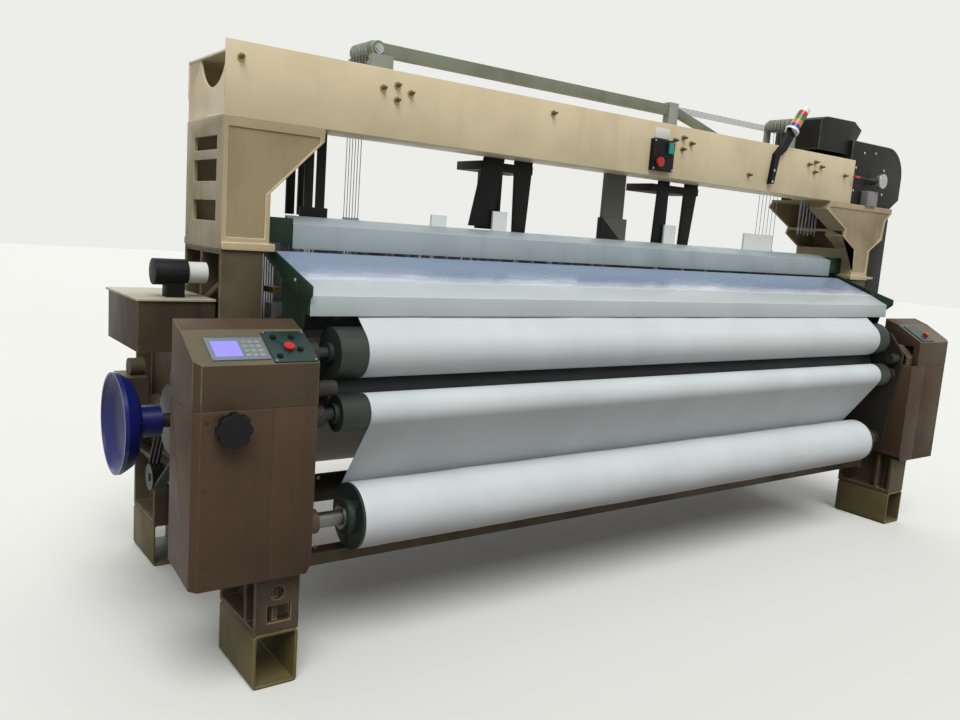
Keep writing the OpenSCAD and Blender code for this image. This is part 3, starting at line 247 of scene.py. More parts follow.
@dataclass(frozen=True)
class Enamel(Finish):
    """Sprayed machine enamel on cast iron or sheet steel, with greasy dust on it.

    Attributes:
        grime: the colour of the dust and oil film.
        soiled: how much of it there is, from 0 to 1.
        peel_mm: the width of the spray's fine orange peel.
        peel_depth: its depth in millimetres.
        edge_wear_and_highlight: the colour of its rounded edges, which stands for paint wear and
            also paints the highlight that the edges catch.
        edge_wear_and_highlight_share: how much of an edge takes that colour, from 0 to 1.
        coat: the weight of the clear coat that fresh enamel and oil give.
        gloss: the strength of its gloss, lower where dust dulls it.
    """

    grime: str = "#3A3226"
    soiled: float = 0.35
    peel_mm: float = 4.0
    peel_depth: float = 0.12
    edge_wear_and_highlight: str = "#D8CFB8"
    edge_wear_and_highlight_share: float = 0.6
    coat: float = 0.1
    gloss: float = 0.4

    def surface(self, tree: Tree, where: Socket) -> dict:
        """Makes cloudy grime, oil runs, orange peel, and pale edges that stand for paint wear and
        painted highlight.

        Args:
            tree: the material's node tree.
            where: the coordinates that its pattern follows.

        Returns:
            Inputs of the Principled BSDF.
        """
        clouds = grain(tree, where, 260, detail=6)
        runs = grain(tree, where, 90, (1, 1, 0.18), 5)
        film = add(tree, RANGE, {0: clouds, 1: 0.42, 2: 0.72, 4: self.soiled})[0]
        streak = add(tree, RANGE, {0: runs, 1: 0.55, 2: 0.78, 4: self.soiled * 0.8})[0]
        # The rounded edges take a paler colour in patches: it stands for paint wear and also
        # paints the highlight that edges catch.
        edge = add(tree, "ShaderNodeAttribute", attribute_name=EDGE)["Fac"]
        patchy = {0: grain(tree, where, 45, detail=4), 1: 0.35, 2: 0.6, 3: 0.25}
        wear_and_highlight_patches = add(tree, MATH, {0: edge, 1: add(tree, RANGE, patchy)[0]}, operation="MULTIPLY")[0]
        shown = add(tree, RANGE, {0: wear_and_highlight_patches, 4: self.edge_wear_and_highlight_share})[0]
        tone = linear(self.colour)
        for amount, over in (
            (grain(tree, where, 700, detail=2), linear(self.colour, 1.12)),
            (film, linear(self.grime)),
            (streak, linear(self.grime)),
            (shown, linear(self.edge_wear_and_highlight)),
        ):
            tone = add(tree, MIX, {0: amount, 6: tone, 7: over}, data_type="RGBA")[2]
        peel = grain(tree, where, self.peel_mm, detail=2)
        return {
            "Base Color": tone,
            "Roughness": self.uneven(tree, clouds, 0.35, 0.7, 0.2),
            "Coat Weight": self.coat,
            "Coat Roughness": 0.3,
            "Specular IOR Level": self.gloss,
            "Normal": self.relief(tree, peel, self.peel_depth, 0.5),
        }


@dataclass(frozen=True)
class Metal(Finish):
    """Bare metal, drawn, turned or rolled, with fine lines along its length.

    Attributes:
        along: how many times finer the lines are along each axis.
        tarnish: the colour of its oil film.
    """

    along: Triple = (0.04, 1, 1)
    tarnish: str = "#4A4842"

    def surface(self, tree: Tree, where: Socket) -> dict:
        """Makes fine lines and a patchy oil film.

        Args:
            tree: the material's node tree.
            where: the coordinates that its pattern follows.

        Returns:
            Inputs of the Principled BSDF.
        """
        lines = grain(tree, where, 2.5, self.along, 3)
        film = add(tree, RANGE, {0: grain(tree, where, 120, detail=5), 1: 0.5, 2: 0.75, 4: 0.5})[0]
        colours = {0: film, 6: linear(self.colour), 7: linear(self.tarnish)}
        spread = {0: lines, 1: 0.3, 2: 0.7, 3: self.rough - 0.08, 4: self.rough + 0.12}
        return {
            "Base Color": add(tree, MIX, colours, data_type="RGBA")[2],
            "Metallic": 1.0,
            "Roughness": add(tree, RANGE, spread)[0],
            "Normal": self.relief(tree, lines, 0.05, 0.3),
        }


@dataclass(frozen=True)
class Rubber(Finish):
    """Ground rubber cover of a roller, or a moulded belt, dull and slightly dusty.

    Attributes:
        lint: the colour of the lint on it.
        turn_mm: the spacing of the wheel's turns, which is drawn coarse so that it shows.
    """

    lint: str = "#6C716B"
    turn_mm: float = 9.8175

    def surface(self, tree: Tree, where: Socket) -> dict:
        """Makes lint and the fine turns that grinding leaves.

        Args:
            tree: the material's node tree.
            where: the coordinates that its pattern follows.

        Returns:
            Inputs of the Principled BSDF.
        """
        fluff = grain(tree, where, 60, (0.3, 1, 1), 6)
        dust = add(tree, RANGE, {0: fluff, 1: 0.5, 2: 0.8, 4: 0.45})[0]
        colours = {0: dust, 6: linear(self.colour), 7: linear(self.lint)}
        turns = ridges(tree, where, "X", self.turn_mm, 1.5)
        return {
            "Base Color": add(tree, MIX, colours, data_type="RGBA")[2],
            "Normal": self.relief(tree, turns, 0.25, 0.35),
        }


@dataclass(frozen=True)
class Weave(Finish):
    """Plain weave of filament yarn: smooth, pale, with a soft sheen.

    The threads are under 0.3 mm apart in the real cloth. They are drawn 6 mm apart, so that
    they show as a faint grid.

    Attributes:
        thread_mm: the distance from one drawn thread to the next.
    """

    reads: ClassVar[str] = "UV"
    thread_mm: float = 6.0

    def surface(self, tree: Tree, where: Socket) -> dict:
        """Makes the two sets of threads, cloudy tone and sheen.

        Args:
            tree: the material's node tree.
            where: the coordinates that its pattern follows.

        Returns:
            Inputs of the Principled BSDF.
        """
        ends, picks = (ridges(tree, where, side, self.thread_mm, 0.4) for side in ("X", "Y"))
        grid = add(tree, MATH, {0: ends, 1: picks}, operation="MULTIPLY")[0]
        cloudy = {0: grain(tree, where, 300, (1, 0.4, 1), 5), 1: 0.35, 2: 0.7, 4: 0.55}
        faint = add(tree, RANGE, {0: grid, 3: 0.18, 4: 0.0})[0]
        tone = linear(self.colour)
        for amount in (add(tree, RANGE, cloudy)[0], faint):
            colours = {0: amount, 6: tone, 7: linear(self.colour, 0.8)}
            tone = add(tree, MIX, colours, data_type="RGBA")[2]
        return {
            "Base Color": tone,
            "Sheen Weight": 0.08,
            "Sheen Roughness": 0.4,
            "Normal": self.relief(tree, grid, 0.25, 0.4),
        }


@dataclass(frozen=True)
class Yarns(Finish):
    """A layer of parallel filament ends, drawn 8 mm apart so that they show.

    Attributes:
        end_mm: the distance from one drawn end to the next.
    """

    end_mm: float = 8.0

    def surface(self, tree: Tree, where: Socket) -> dict:
        """Makes the ends, all running away from the weaver.

        Args:
            tree: the material's node tree.
            where: the coordinates that its pattern follows.

        Returns:
            Inputs of the Principled BSDF.
        """
        ends = ridges(tree, where, "X", self.end_mm, 0.3)
        gap = add(tree, RANGE, {0: ends, 2: 0.5, 3: 0.55, 4: 0.0})[0]
        colours = {0: gap, 6: linear(self.colour), 7: linear(self.colour, 0.62)}
        return {
            "Base Color": add(tree, MIX, colours, data_type="RGBA")[2],
            "Sheen Weight": 0.3,
            "Normal": self.relief(tree, ends, 0.5, 0.6),
        }


@dataclass(frozen=True)
class Plastic(Finish):
    """Moulded ABS with a fine eroded texture, matt or glossy.

    Attributes:
        glow: how strongly it lights by itself, for lamps.
        gloss: the strength of its gloss.
    """

    glow: float = 0.0
    gloss: float = 0.5

    def surface(self, tree: Tree, where: Socket) -> dict:
        """Makes the mould's texture, a slightly uneven gloss, and the glow of a lamp.

        Args:
            tree: the material's node tree.
            where: the coordinates that its pattern follows.

        Returns:
            Inputs of the Principled BSDF.
        """
        spots = grain(tree, where, 1.6, detail=2)
        light = {"Emission Color": linear(self.colour), "Emission Strength": self.glow}
        return {
            "Specular IOR Level": self.gloss,
            "Roughness": self.uneven(tree, spots, 0.3, 0.7, 0.12),
            "Normal": self.relief(tree, spots, 0.06, 0.3),
        } | (light if self.glow else {})


@dataclass(frozen=True)
class ClearSheet(Finish):
    """Extruded PVC sheet, tinted and half clear, with scuffs where hands slide on it.

    Attributes:
        tint: the colour of its tinted patches.
        lip: the colour of its lower lip.
        lip_y: where the lip ends.
        lip_wide: the width over which the lip fades.
    """

    tint: str = "#7F86BE"
    lip: str = "#E2E6EC"
    lip_y: float = 0.0
    lip_wide: float = 0.07

    def surface(self, tree: Tree, where: Socket) -> dict:
        """Makes the tint, which fades to the right, the pale lower lip, scuffs and clearness.

        Args:
            tree: the material's node tree.
            where: the coordinates that its pattern follows.

        Returns:
            Inputs of the Principled BSDF.
        """
        axes = add(tree, "ShaderNodeSeparateXYZ", {0: where})
        patchy = {0: grain(tree, where, 130, (0.08, 1, 1), 3), 1: 0.38, 2: 0.62, 3: 0.25}
        fading = {0: axes["X"], 1: -1.7, 2: 1.2, 3: 0.7, 4: 0.2}
        both = {0: add(tree, RANGE, patchy)[0], 1: add(tree, RANGE, fading)[0]}
        edge = {0: axes["Y"], 1: self.lip_y, 2: self.lip_y + self.lip_wide, 3: 0.8, 4: 0.0}
        tone = linear(self.colour)
        for amount, over in (
            (add(tree, MATH, both, operation="MULTIPLY")[0], self.tint),
            (add(tree, RANGE, edge)[0], self.lip),
        ):
            tone = add(tree, MIX, {0: amount, 6: tone, 7: linear(over)}, data_type="RGBA")[2]
        scuff = grain(tree, where, 30, (0.2, 1, 1), 6)
        return {
            "Base Color": tone,
            "Roughness": self.uneven(tree, scuff, 0.4, 0.7, 0.25),
            "Transmission Weight": 0.22,
            "IOR": 1.5,
        }


class Paint(Enum):
    """The finishes of this loom."""

    # Cream enamel: warm and pale, with a soft gloss, clouded by grease low down. The uprights take
    # a darker cream than the beam, as painted shade under the beam, and their recessed panels a
    # darker one still, as painted shade in the recess.
    CREAM = Enamel(
        "cream machine enamel, sprayed on castings", "cream_paint", "#D3C5A2", 0.42, "#7A6848",
        0.2, edge_wear_and_highlight="#F0E8D0",
    )
    UPRIGHT_IN_SHADE = Enamel(
        "cream machine enamel darkened as painted shade, greasy", "cream_paint", "#AD9D7C", 0.45, "#6A5A3E", 0.35,
        edge_wear_and_highlight="#D2C4A2",
    )
    PANEL = Enamel(
        "olive-cream enamel, darkened as painted shade in a recess", "cream_paint", "#96896A", 0.5, "#5A4A30", 0.5
    )
    # Beige and olive enamel under oil: dark and mottled, with pale edges that stand for paint wear
    # and painted highlight.
    FRAME = Enamel(
        "beige machine enamel on cast iron, oily", "frame_paint", "#4E4432", 0.55, "#19150F",
        0.7, edge_wear_and_highlight="#8C7C5E", coat=0.04, gloss=0.25,
    )
    RISER = Enamel(
        "olive enamel on a steel tube", "riser_paint", "#5E5634", 0.55, "#1E1A0E", 0.45,
        edge_wear_and_highlight="#A89C66", coat=0.03, gloss=0.25,
    )
    # Brown enamel: matt, with a wide hammered dimple on sheet and a finer peel on castings. The
    # cabinet sheet takes a dark brown that is painted shade, the shade that the cabinets stand in.
    CABINET_IN_SHADE = Enamel(
        "brown hammered enamel on sheet steel", "cabinet_paint", "#483829", 0.5, "#261C14",
        0.35, 6.0, 0.3, "#6E5A46", 0.3, 0.03, 0.22,
    )
    CAP = Enamel(
        "brown enamel on a cast cap", "cap_paint", "#4B3D2F", 0.5, "#2A2218", 0.3,
        edge_wear_and_highlight="#8E7F68", edge_wear_and_highlight_share=0.5, coat=0.04, gloss=0.25,
    )
    TABLE = Enamel(
        "pale enamel on a table top", "cap_paint", "#9A947E", 0.5, "#5E5644", 0.35,
        edge_wear_and_highlight="#C8C2AC", gloss=0.25,
    )
    SLOPE = Enamel(
        "grey-brown enamel on a cap's slope", "cap_paint", "#655D4B", 0.5, "#3A3226", 0.3,
        coat=0.05, gloss=0.25,
    )
    COLLAR = Enamel(
        "brown enamel on a shaft collar", "dark_steel", "#54422F", 0.45, "#2A2018", 0.5,
        gloss=0.3,
    )
    # Dark green enamel: near black, with a green cast where light grazes it.
    BRACKET = Enamel(
        "dark green enamel on brackets", "bracket_paint", "#17301F", 0.5, "#111611", 0.4,
        edge_wear_and_highlight="#4C6A5A", coat=0.03, gloss=0.25,
    )
    HUB = Enamel(
        "dark green enamel on a beam flange", "dark_steel", "#1F2B25", 0.5, "#121612", 0.5,
        gloss=0.25,
    )
    # Grey enamel on bent sheet: smooth and cool, with broad soft highlights along the bends.
    COVER = Enamel(
        "pale grey enamel on bent sheet", "cover_grey", "#B0BABB", 0.35, "#8E9694", 0.15,
        edge_wear_and_highlight="#EEF2F2",
    )
    REED_COVER = Enamel(
        "grey enamel on bent sheet", "cover_steel", "#98A4A8", 0.38, "#5E6868", 0.3,
        edge_wear_and_highlight="#C6CECE",
    )
    # Dark enamel: black with dull brown oil on it, and paler edges that stand for bare metal and
    # painted highlight.
    OILY = Enamel(
        "dark enamel, oily", "dark_steel", "#2E2B24", 0.45, "#14120D", 0.6, edge_wear_and_highlight="#5C5648",
        coat=0.06, gloss=0.3,
    )
    DOBBY = Enamel(
        "black enamel on cast iron", "dobby_paint", "#141515", 0.45, "#2A2720", 0.25,
        edge_wear_and_highlight="#6E6E68", edge_wear_and_highlight_share=0.7, coat=0.05, gloss=0.22,
    )
    ARM = Enamel(
        "olive-black enamel on a casting", "dobby_paint", "#1E1E19", 0.5, "#12120E", 0.4,
        edge_wear_and_highlight="#6E6C58", coat=0.04, gloss=0.2,
    )
    SWITCH = Enamel(
        "grey enamel on a ribbed block", "dobby_paint", "#7C7C7A", 0.45, "#3A3A38", 0.3
    )
    # Navy gloss enamel: saturated, with a clear bright highlight.
    NAVY = Enamel(
        "navy gloss enamel", "navy_paint", "#141D60", 0.25, "#0C0E16", 0.25, edge_wear_and_highlight="#3A4A9A",
        coat=0.2, gloss=0.35,
    )
    # Grey-green enamel: dusty and flat, with pale edges that stand for rubbing by cables and hands
    # and for painted highlight.
    MOTOR = Enamel(
        "grey-green enamel on a ribbed motor", "motor_paint", "#4A5A52", 0.5, "#22241E", 0.5,
        gloss=0.3,
    )
    HARNESS = Enamel(
        "grey-green enamel on a bar", "harness_paint", "#737867", 0.5, "#3C3E30", 0.45,
        edge_wear_and_highlight="#A8B08C", edge_wear_and_highlight_share=0.8,
    )
    POST = Enamel(
        "pale grey enamel on a post", "harness_paint", "#8E948C", 0.45, "#4A4C44", 0.4
    )
    # Bare steel: bright streaks along the length, broken by a thin brown film.
    STEEL = Metal("bright drawn steel", "bright_steel", "#B6B8BA", 0.3)
    WIRE = Metal("flat stainless heald wire", "heald_aluminium", "#8A8C8E", 0.45, (1, 1, 0.04))
    SPRING = Metal("wound spring wire", "cable_steel", "#A6A8A8", 0.35, (1, 1, 1))
    OILED = Metal("turned steel, oily", "dark_steel", "#72746C", 0.4)
    CABLE = Metal("stranded steel cable", "cable_steel", "#7E8286", 0.45)
    # Aluminium: paler and softer than steel, with a wide blurred highlight.
    SLEY = Metal("machined aluminium", "sley_aluminium", "#9CA1A1", 0.4)
    HEALD = Metal("extruded aluminium", "heald_aluminium", "#A9ACAF", 0.38)
    BARREL = Metal("cast aluminium, turned", "beam_aluminium", "#A4A8AC", 0.42)
    # Yellow zinc plate: brass-coloured where clean, and brown where oil has dried.
    BRASS = Metal(
        "dull brass and yellow zinc plate", "bolt_brass", "#6A5E3C", 0.42, tarnish="#2E2818"
    )
    WASHER = Metal(
        "yellow zinc plate on washers", "bolt_brass", "#A89A76", 0.45, tarnish="#6E6246"
    )
    # Rubber: black-green and dull, greyed by lint.
    RUBBER = Rubber("ground nitrile rubber", "roller_rubber", "#18211D", 0.62, "#4A524C")
    BELT = Rubber("moulded belt rubber", "belt_rubber", "#1B1B1B", 0.7, "#3A3A38")
    # Filament cloth and yarn: cool white with a soft sheen, a faint grid and clouded tone.
    CLOTH = Weave("plain woven filament cloth", "cloth", "#C9D0D2", 0.6)
    YARN = Yarns("wound filament yarn", "yarn", "#E6E5DE", 0.5)
    # Moulded plastic: even colour, with a fine grain that breaks the highlight.
    BLACK = Plastic("black moulded ABS", "black_plastic", "#0C0D0D", 0.5, gloss=0.2)
    PAD = Plastic("grey-green moulded cover", "black_plastic", "#4C4D44", 0.5)
    KEYPAD = Plastic("grey membrane keypad", "black_plastic", "#6C7884", 0.4)
    PRINT = Plastic("teal plate with a satin film", "black_plastic", "#12302E", 0.3)
    RED = Plastic("red moulded ABS", "red_plastic", "#B01C1C", 0.3)
    TEAL = Plastic("teal moulded ABS", "teal_plastic", "#1E8C7C", 0.3)
    WHITE = Plastic("white moulded nylon", "cover_steel", "#E4EAEA", 0.5)
    PLATE = Plastic("white enamelled plate", "black_plastic", "#D8DAD4", 0.4)
    SHEAVE = Plastic("grey moulded nylon", "pulley_steel", "#868E82", 0.5)
    # The sheaves' outer rims take a paler grey than their sides.
    RIM = Plastic("grey nylon, paler on the rims", "pulley_steel", "#C4C8BE", 0.45)
    FEEDER = Plastic("white moulded drum", "black_plastic", "#D8D8D4", 0.35)
    # Lit plastic: glossy, and a little brighter than its colour.
    SCREEN = Plastic(
        "liquid crystal display behind acrylic", "black_plastic", "#8880E4", 0.2, 0.35
    )
    LENS_BLUE = Plastic("blue polycarbonate lens", "black_plastic", "#1C3C9C", 0.2, 0.05)
    LENS_ORANGE = Plastic("orange polycarbonate lens", "black_plastic", "#D07A1C", 0.2, 0.05)
    LENS_GREEN = Plastic("green polycarbonate lens", "black_plastic", "#1E7A3A", 0.2, 0.05)
    LENS_RED = Plastic("red polycarbonate lens", "black_plastic", "#A8281C", 0.2, 0.05)
    LENS_WHITE = Plastic("white polycarbonate cap", "black_plastic", "#E0E0DC", 0.2, 0.05)
    # Tinted PVC: milky violet-blue, with what lies under it showing through faintly.
    SPLASH = ClearSheet(
        "tinted PVC sheet, half clear", "splash_plastic", "#93A6BA", 0.18,
        lip_y=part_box("splash_guard")[0].y,
    )


# Shapes


def body_of(node: str) -> str:
    """Returns the name of the body that a CAD node rides on."""
    bodies = frame["record"]["behaviour"]["bodies"]
    return next(name for name, nodes in bodies.items() if node in nodes)


def dress(paint: Paint, *nodes: str) -> None:
    """Gives CAD nodes a finish and keeps their shape.

    Args:
        paint: what they are made of.
        nodes: their names.
    """
    for node in nodes:
        for place in frame["nodes"][node].material_slots:
            place.material = paint.value.material()
        LOG.info("%s keeps its shape: %s", node, paint.value.name)


def settle(
    mesh: Mesh,
    name: str,
    paint: Paint,
    body: str = "frame",
    replaced: Sequence[str] = (),
    sharp: float = 30,
) -> Piece:
    """Makes a piece of a mesh that already lies in place.

    Args:
        mesh: the piece's mesh, in the frame of the CAD.
        name: the piece's name.
        paint: what it is made of.
        body: the body that it rides on.
        replaced: the CAD nodes that it stands for.
        sharp: the angle in degrees from which an edge stays sharp.

    Returns:
        The piece.
    """
    piece = bpy.data.objects.new(name, mesh)
    bpy.context.scene.collection.objects.link(piece)
    mesh.materials.clear()
    mesh.materials.append(paint.value.material())
    mesh.polygons.foreach_set("use_smooth", [True] * len(mesh.polygons))
    mesh.set_sharp_from_angle(angle=math.radians(sharp))
    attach(piece, body)
    if replaced:
        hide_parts(*replaced)
    LOG.info("%s built with %d faces on %s", name, len(mesh.polygons), body)
    return piece


def poured(shape: bmesh.types.BMesh, name: str) -> Mesh:
    """Turns an edited shape into a mesh.

    Args:
        shape: the shape, which is freed.
        name: the mesh's name.

    Returns:
        The mesh.
    """
    mesh = bpy.data.meshes.new(name)
    shape.to_mesh(mesh)
    shape.free()
    return mesh


def rounded(
    node: str,
    name: str,
    paint: Paint,
    radius_mm: float = 0.0,
    keep: Callable[[Vector], bool] | None = None,
    segments: int = 2,
) -> None:
    """Copies a CAD node with its sharp edges rounded, as paint and casting leave them.

    Args:
        node: the CAD node that is copied and replaced.
        name: the new piece's name.
        paint: what it is made of.
        radius_mm: the width of the rounding in millimetres, 0 for none.
        keep: says by a face's centre whether the face belongs to this piece.
        segments: the number of faces across the rounding.
    """
    shape = bmesh.new()
    shape.from_mesh(frame["nodes"][node].data)
    bmesh.ops.remove_doubles(shape, verts=shape.verts, dist=2e-5)
    if keep:
        gone = [f for f in shape.faces if not keep(f.calc_center_median())]
        bmesh.ops.delete(shape, geom=gone, context="FACES")
    flat = math.radians(0.5)
    bmesh.ops.dissolve_limit(shape, angle_limit=flat, verts=shape.verts, edges=shape.edges)
    if radius_mm:
        mark = shape.faces.layers.float.new(EDGE)
        corner = math.radians(32)
        cut = bmesh.ops.bevel(
            shape,
            geom=[e for e in shape.edges if e.is_manifold and e.calc_face_angle(0) > corner],
            offset=radius_mm * MM,
            offset_type="OFFSET",
            segments=segments,
            profile=0.5,
            affect="EDGES",
            clamp_overlap=False,
        )
        for face in cut["faces"]:
            face[mark] = 1.0
        low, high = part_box(node)
        for point in shape.verts:
            for axis in range(3):
                point.co[axis] = min(max(point.co[axis], low[axis]), high[axis])
    settle(poured(shape, name), name, paint, body_of(node), [node], 34)


def mesh_from(
    name: str,
    points: Sequence[Sequence[float]],
    faces: Sequence[Sequence[int]] = (),
    uvs: Sequence[Sequence[float]] = (),
    closed: bool = False,
) -> Mesh:
    """Makes a mesh from points and faces.

    Args:
        name: the mesh's name.
        points: its corners.
        faces: its faces, as indices of corners.
        uvs: a place on the UV map for each corner.
        closed: whether it is a closed shell, whose faces are turned outwards.

    Returns:
        The mesh.
    """
    mesh = bpy.data.meshes.new(name)
    mesh.from_pydata([tuple(p) for p in points], [], [tuple(f) for f in faces])
    mesh.validate()
    mesh.update()
    if uvs:
        layer = mesh.uv_layers.new(name="UVMap")
        for loop in mesh.loops:
            layer.data[loop.index].uv = uvs[loop.vertex_index]
    if closed:
        shell = bmesh.new()
        shell.from_mesh(mesh)
        bmesh.ops.recalc_face_normals(shell, faces=shell.faces)
        shell.to_mesh(mesh)
        shell.free()
    return mesh


def circle_of(node: str) -> tuple[Vector, float]:
    """Finds the axis and radius of a CAD node that is turned about X.

    Args:
        node: the CAD node.

    Returns:
        The axis as (y, z), and the radius.
    """
    low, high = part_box(node)
    return Vector(((low.y + high.y) / 2, (low.z + high.z) / 2)), (high.y - low.y) / 2


@dataclass
class Wrap:
    """A circle that a web runs over, seen from the right.

    Attributes:
        centre: its centre as (y, z).
        radius: the radius of the web's middle line, 0 at an end.
        turn: 1 with the centre on the left of the travel, and -1 on the right.
    """

    centre: Vector
    radius: float
    turn: int = 1


@dataclass
class Web:
    """A web that runs over circles on straight lines between them.

    Attributes:
        wraps: the circles in order.
        step: the distance between its points on a straight line.
        swing_step: the angle between its points on a circle, in degrees.
        columns: the number of faces across it.
        thickness: its thickness.
        ripple: the height of the soft folds in its free stretches.
    """

    wraps: Sequence[Wrap]
    step: float = 0.012
    swing_step: float = 5.0
    columns: int = 150
    thickness: float = 0.0008
    ripple: float = 0.0022

    @staticmethod
    def heading(a: Wrap, b: Wrap) -> float:
        """Returns the direction of travel from one circle to the next, in radians."""
        d = b.centre - a.centre
        lean = (a.turn * a.radius - b.turn * b.radius) / d.length
        return math.atan2(d.y, d.x) + math.asin(lean)

    @staticmethod
    def point(wrap: Wrap, heading: float) -> Vector:
        """Returns the web's point on a circle where it has that heading."""
        side = Vector((math.sin(heading), -math.cos(heading)))
        return wrap.centre + side * wrap.radius * wrap.turn

    def line(self) -> list[tuple[Vector, float, float]]:
        """Lays out the web's middle line.

        Returns:
            Points as (point, heading, slack), where slack is 0 on a circle and rises to 1
            in the middle of a free stretch.
        """
        found = []
        headings = [self.heading(a, b) for a, b in zip(self.wraps, self.wraps[1:])]
        for i, heading in enumerate(headings):
            a = self.point(self.wraps[i], heading)
            b = self.point(self.wraps[i + 1], heading)
            count = max(1, round((b - a).length / self.step))
            for k in range(count + 1):
                slack = math.sin(math.pi * k / count)
                found.append((a.lerp(b, k / count), heading, slack))
            if i + 1 == len(headings):
                break
            wrap = self.wraps[i + 1]
            swing = wrap.turn * ((wrap.turn * (headings[i + 1] - heading)) % (2 * math.pi))
            count = max(2, round(abs(swing) / math.radians(self.swing_step)))
            for k in range(1, count):
                angle = heading + swing * k / count
                found.append((self.point(wrap, angle), angle, 0.0))
        return found

    def mesh(self, name: str, x0: float, x1: float) -> tuple[Mesh, float]:
        """Builds the web as a thin sheet with a UV map in metres.

        Args:
            name: the mesh's name.
            x0: its left edge.
            x1: its right edge.

        Returns:
            The mesh and the web's length.
        """
        line, columns = self.line(), self.columns
        lengths = [0.0]
        for a, b in zip(line, line[1:]):
            lengths.append(lengths[-1] + (b[0] - a[0]).length)
        points, uvs = [], []
        for side in (0.5, -0.5):
            for (p, heading, slack), run in zip(line, lengths):
                out = Vector((math.sin(heading), -math.cos(heading)))
                for c in range(columns + 1):
                    x = x0 + (x1 - x0) * c / columns
                    # folds about 200 mm wide, with others of about 80 mm on them
                    wave = noise.noise(Vector((x * 5.0, run * 2.2, 0.7)))
                    wave += 0.5 * noise.noise(Vector((x * 13.0, run * 3.0, 4.1)))
                    q = p + out * (side * self.thickness + self.ripple * slack * wave)
                    points.append((x, q.x, q.y))
                    uvs.append((x, run))
        rows, wide = len(line), columns + 1
        half = rows * wide
        faces = []
        for r in range(rows - 1):
            for c in range(columns):
                a = r * wide + c
                faces.append((a, a + wide, a + wide + 1, a + 1))
                faces.append((half + a, half + a + 1, half + a + wide + 1, half + a + wide))
        for r in range(rows - 1):
            for a in (r * wide, r * wide + columns):
                faces.append((a, half + a, half + a + wide, a + wide))
        for c in range(columns):
            for a in (c, (rows - 1) * wide + c):
                faces.append((a, a + 1, half + a + 1, half + a))
        return mesh_from(name, points, faces, uvs, closed=True), lengths[-1]


# What repeats


@dataclass
class Repeats:
    """One small shape that Geometry Nodes set on many points.

    Attributes:
        title: the name of the node tree.
        reads: the vector that each point holds.
        sizes: the tree's inputs besides its points and its finish, and their types.
    """

    title: ClassVar[str] = ""
    reads: ClassVar[str] = ""
    sizes: ClassVar[dict[str, str]] = {}

    def instance(self, tree: Tree, given: Outputs, vector: Socket) -> dict:
        """Makes the shape.

        Args:
            tree: the node tree.
            given: the tree's inputs.
            vector: what each point holds.

        Returns:
            The inputs of Instance on Points that place it.
        """
        return {}

    def values(self) -> dict:
        """Returns a value for each of the tree's sizes."""
        return {}

    def tree(self) -> Tree:
        """Returns the node tree, which is built once."""
        found = bpy.data.node_groups.get(self.title)
        if found:
            return found
        tree = bpy.data.node_groups.new(self.title, "GeometryNodeTree")
        sockets = {"Points": "Geometry", **self.sizes, "Finish": "Material"}
        for label, kind in sockets.items():
            tree.interface.new_socket(label, in_out="INPUT", socket_type="NodeSocket" + kind)
        tree.interface.new_socket("Pieces", in_out="OUTPUT", socket_type="NodeSocketGeometry")
        given = add(tree, "NodeGroupInput")
        named = "GeometryNodeInputNamedAttribute"
        vector = add(tree, named, {"Name": self.reads}, data_type="FLOAT_VECTOR")[0]
        dots = add(tree, "GeometryNodeMeshToPoints", {"Mesh": given["Points"]})[0]
        shape = {"Points": dots} | self.instance(tree, given, vector)
        placed = add(tree, "GeometryNodeInstanceOnPoints", shape)[0]
        solid = add(tree, "GeometryNodeRealizeInstances", {0: placed})[0]
        done = {"Geometry": solid, "Material": given["Finish"]}
        add(tree, "NodeGroupOutput", {0: add(tree, "GeometryNodeSetMaterial", done)[0]})
        return tree

    def place(
        self,
        name: str,
        spots: Sequence[tuple[Sequence[float], Sequence[float]]],
        paint: Paint,
        body: str = "frame",
        replaced: Sequence[str] = (),
    ) -> None:
        """Sets the shapes and keeps them as one plain mesh.

        Args:
            name: the piece's name.
            spots: where each shape sits, and the vector that it reads.
            paint: what they are made of.
            body: the body that they ride on.
            replaced: the CAD nodes that they stand for.
        """
        seeds = mesh_from(name + "_points", [place for place, _ in spots])
        layer = seeds.attributes.new(self.reads, "FLOAT_VECTOR", "POINT")
        vectors = np.array([vector for _, vector in spots], np.float32)
        layer.data.foreach_set("vector", vectors.ravel())
        holder = bpy.data.objects.new(name + "_seed", seeds)
        bpy.context.scene.collection.objects.link(holder)
        tree = self.tree()
        modifier = holder.modifiers.new("grow", "NODES")
        modifier.node_group = tree
        values = self.values() | {"Finish": paint.value.material()}
        for item in tree.interface.items_tree:
            if item.name in values:
                modifier[item.identifier] = values[item.name]
        bpy.context.view_layer.update()
        graph = bpy.context.evaluated_depsgraph_get()
        mesh = bpy.data.meshes.new_from_object(holder.evaluated_get(graph))
        mesh.name = name
        holder.modifiers.remove(modifier)
        bpy.data.objects.remove(holder)
        settle(mesh, name, paint, body, replaced)


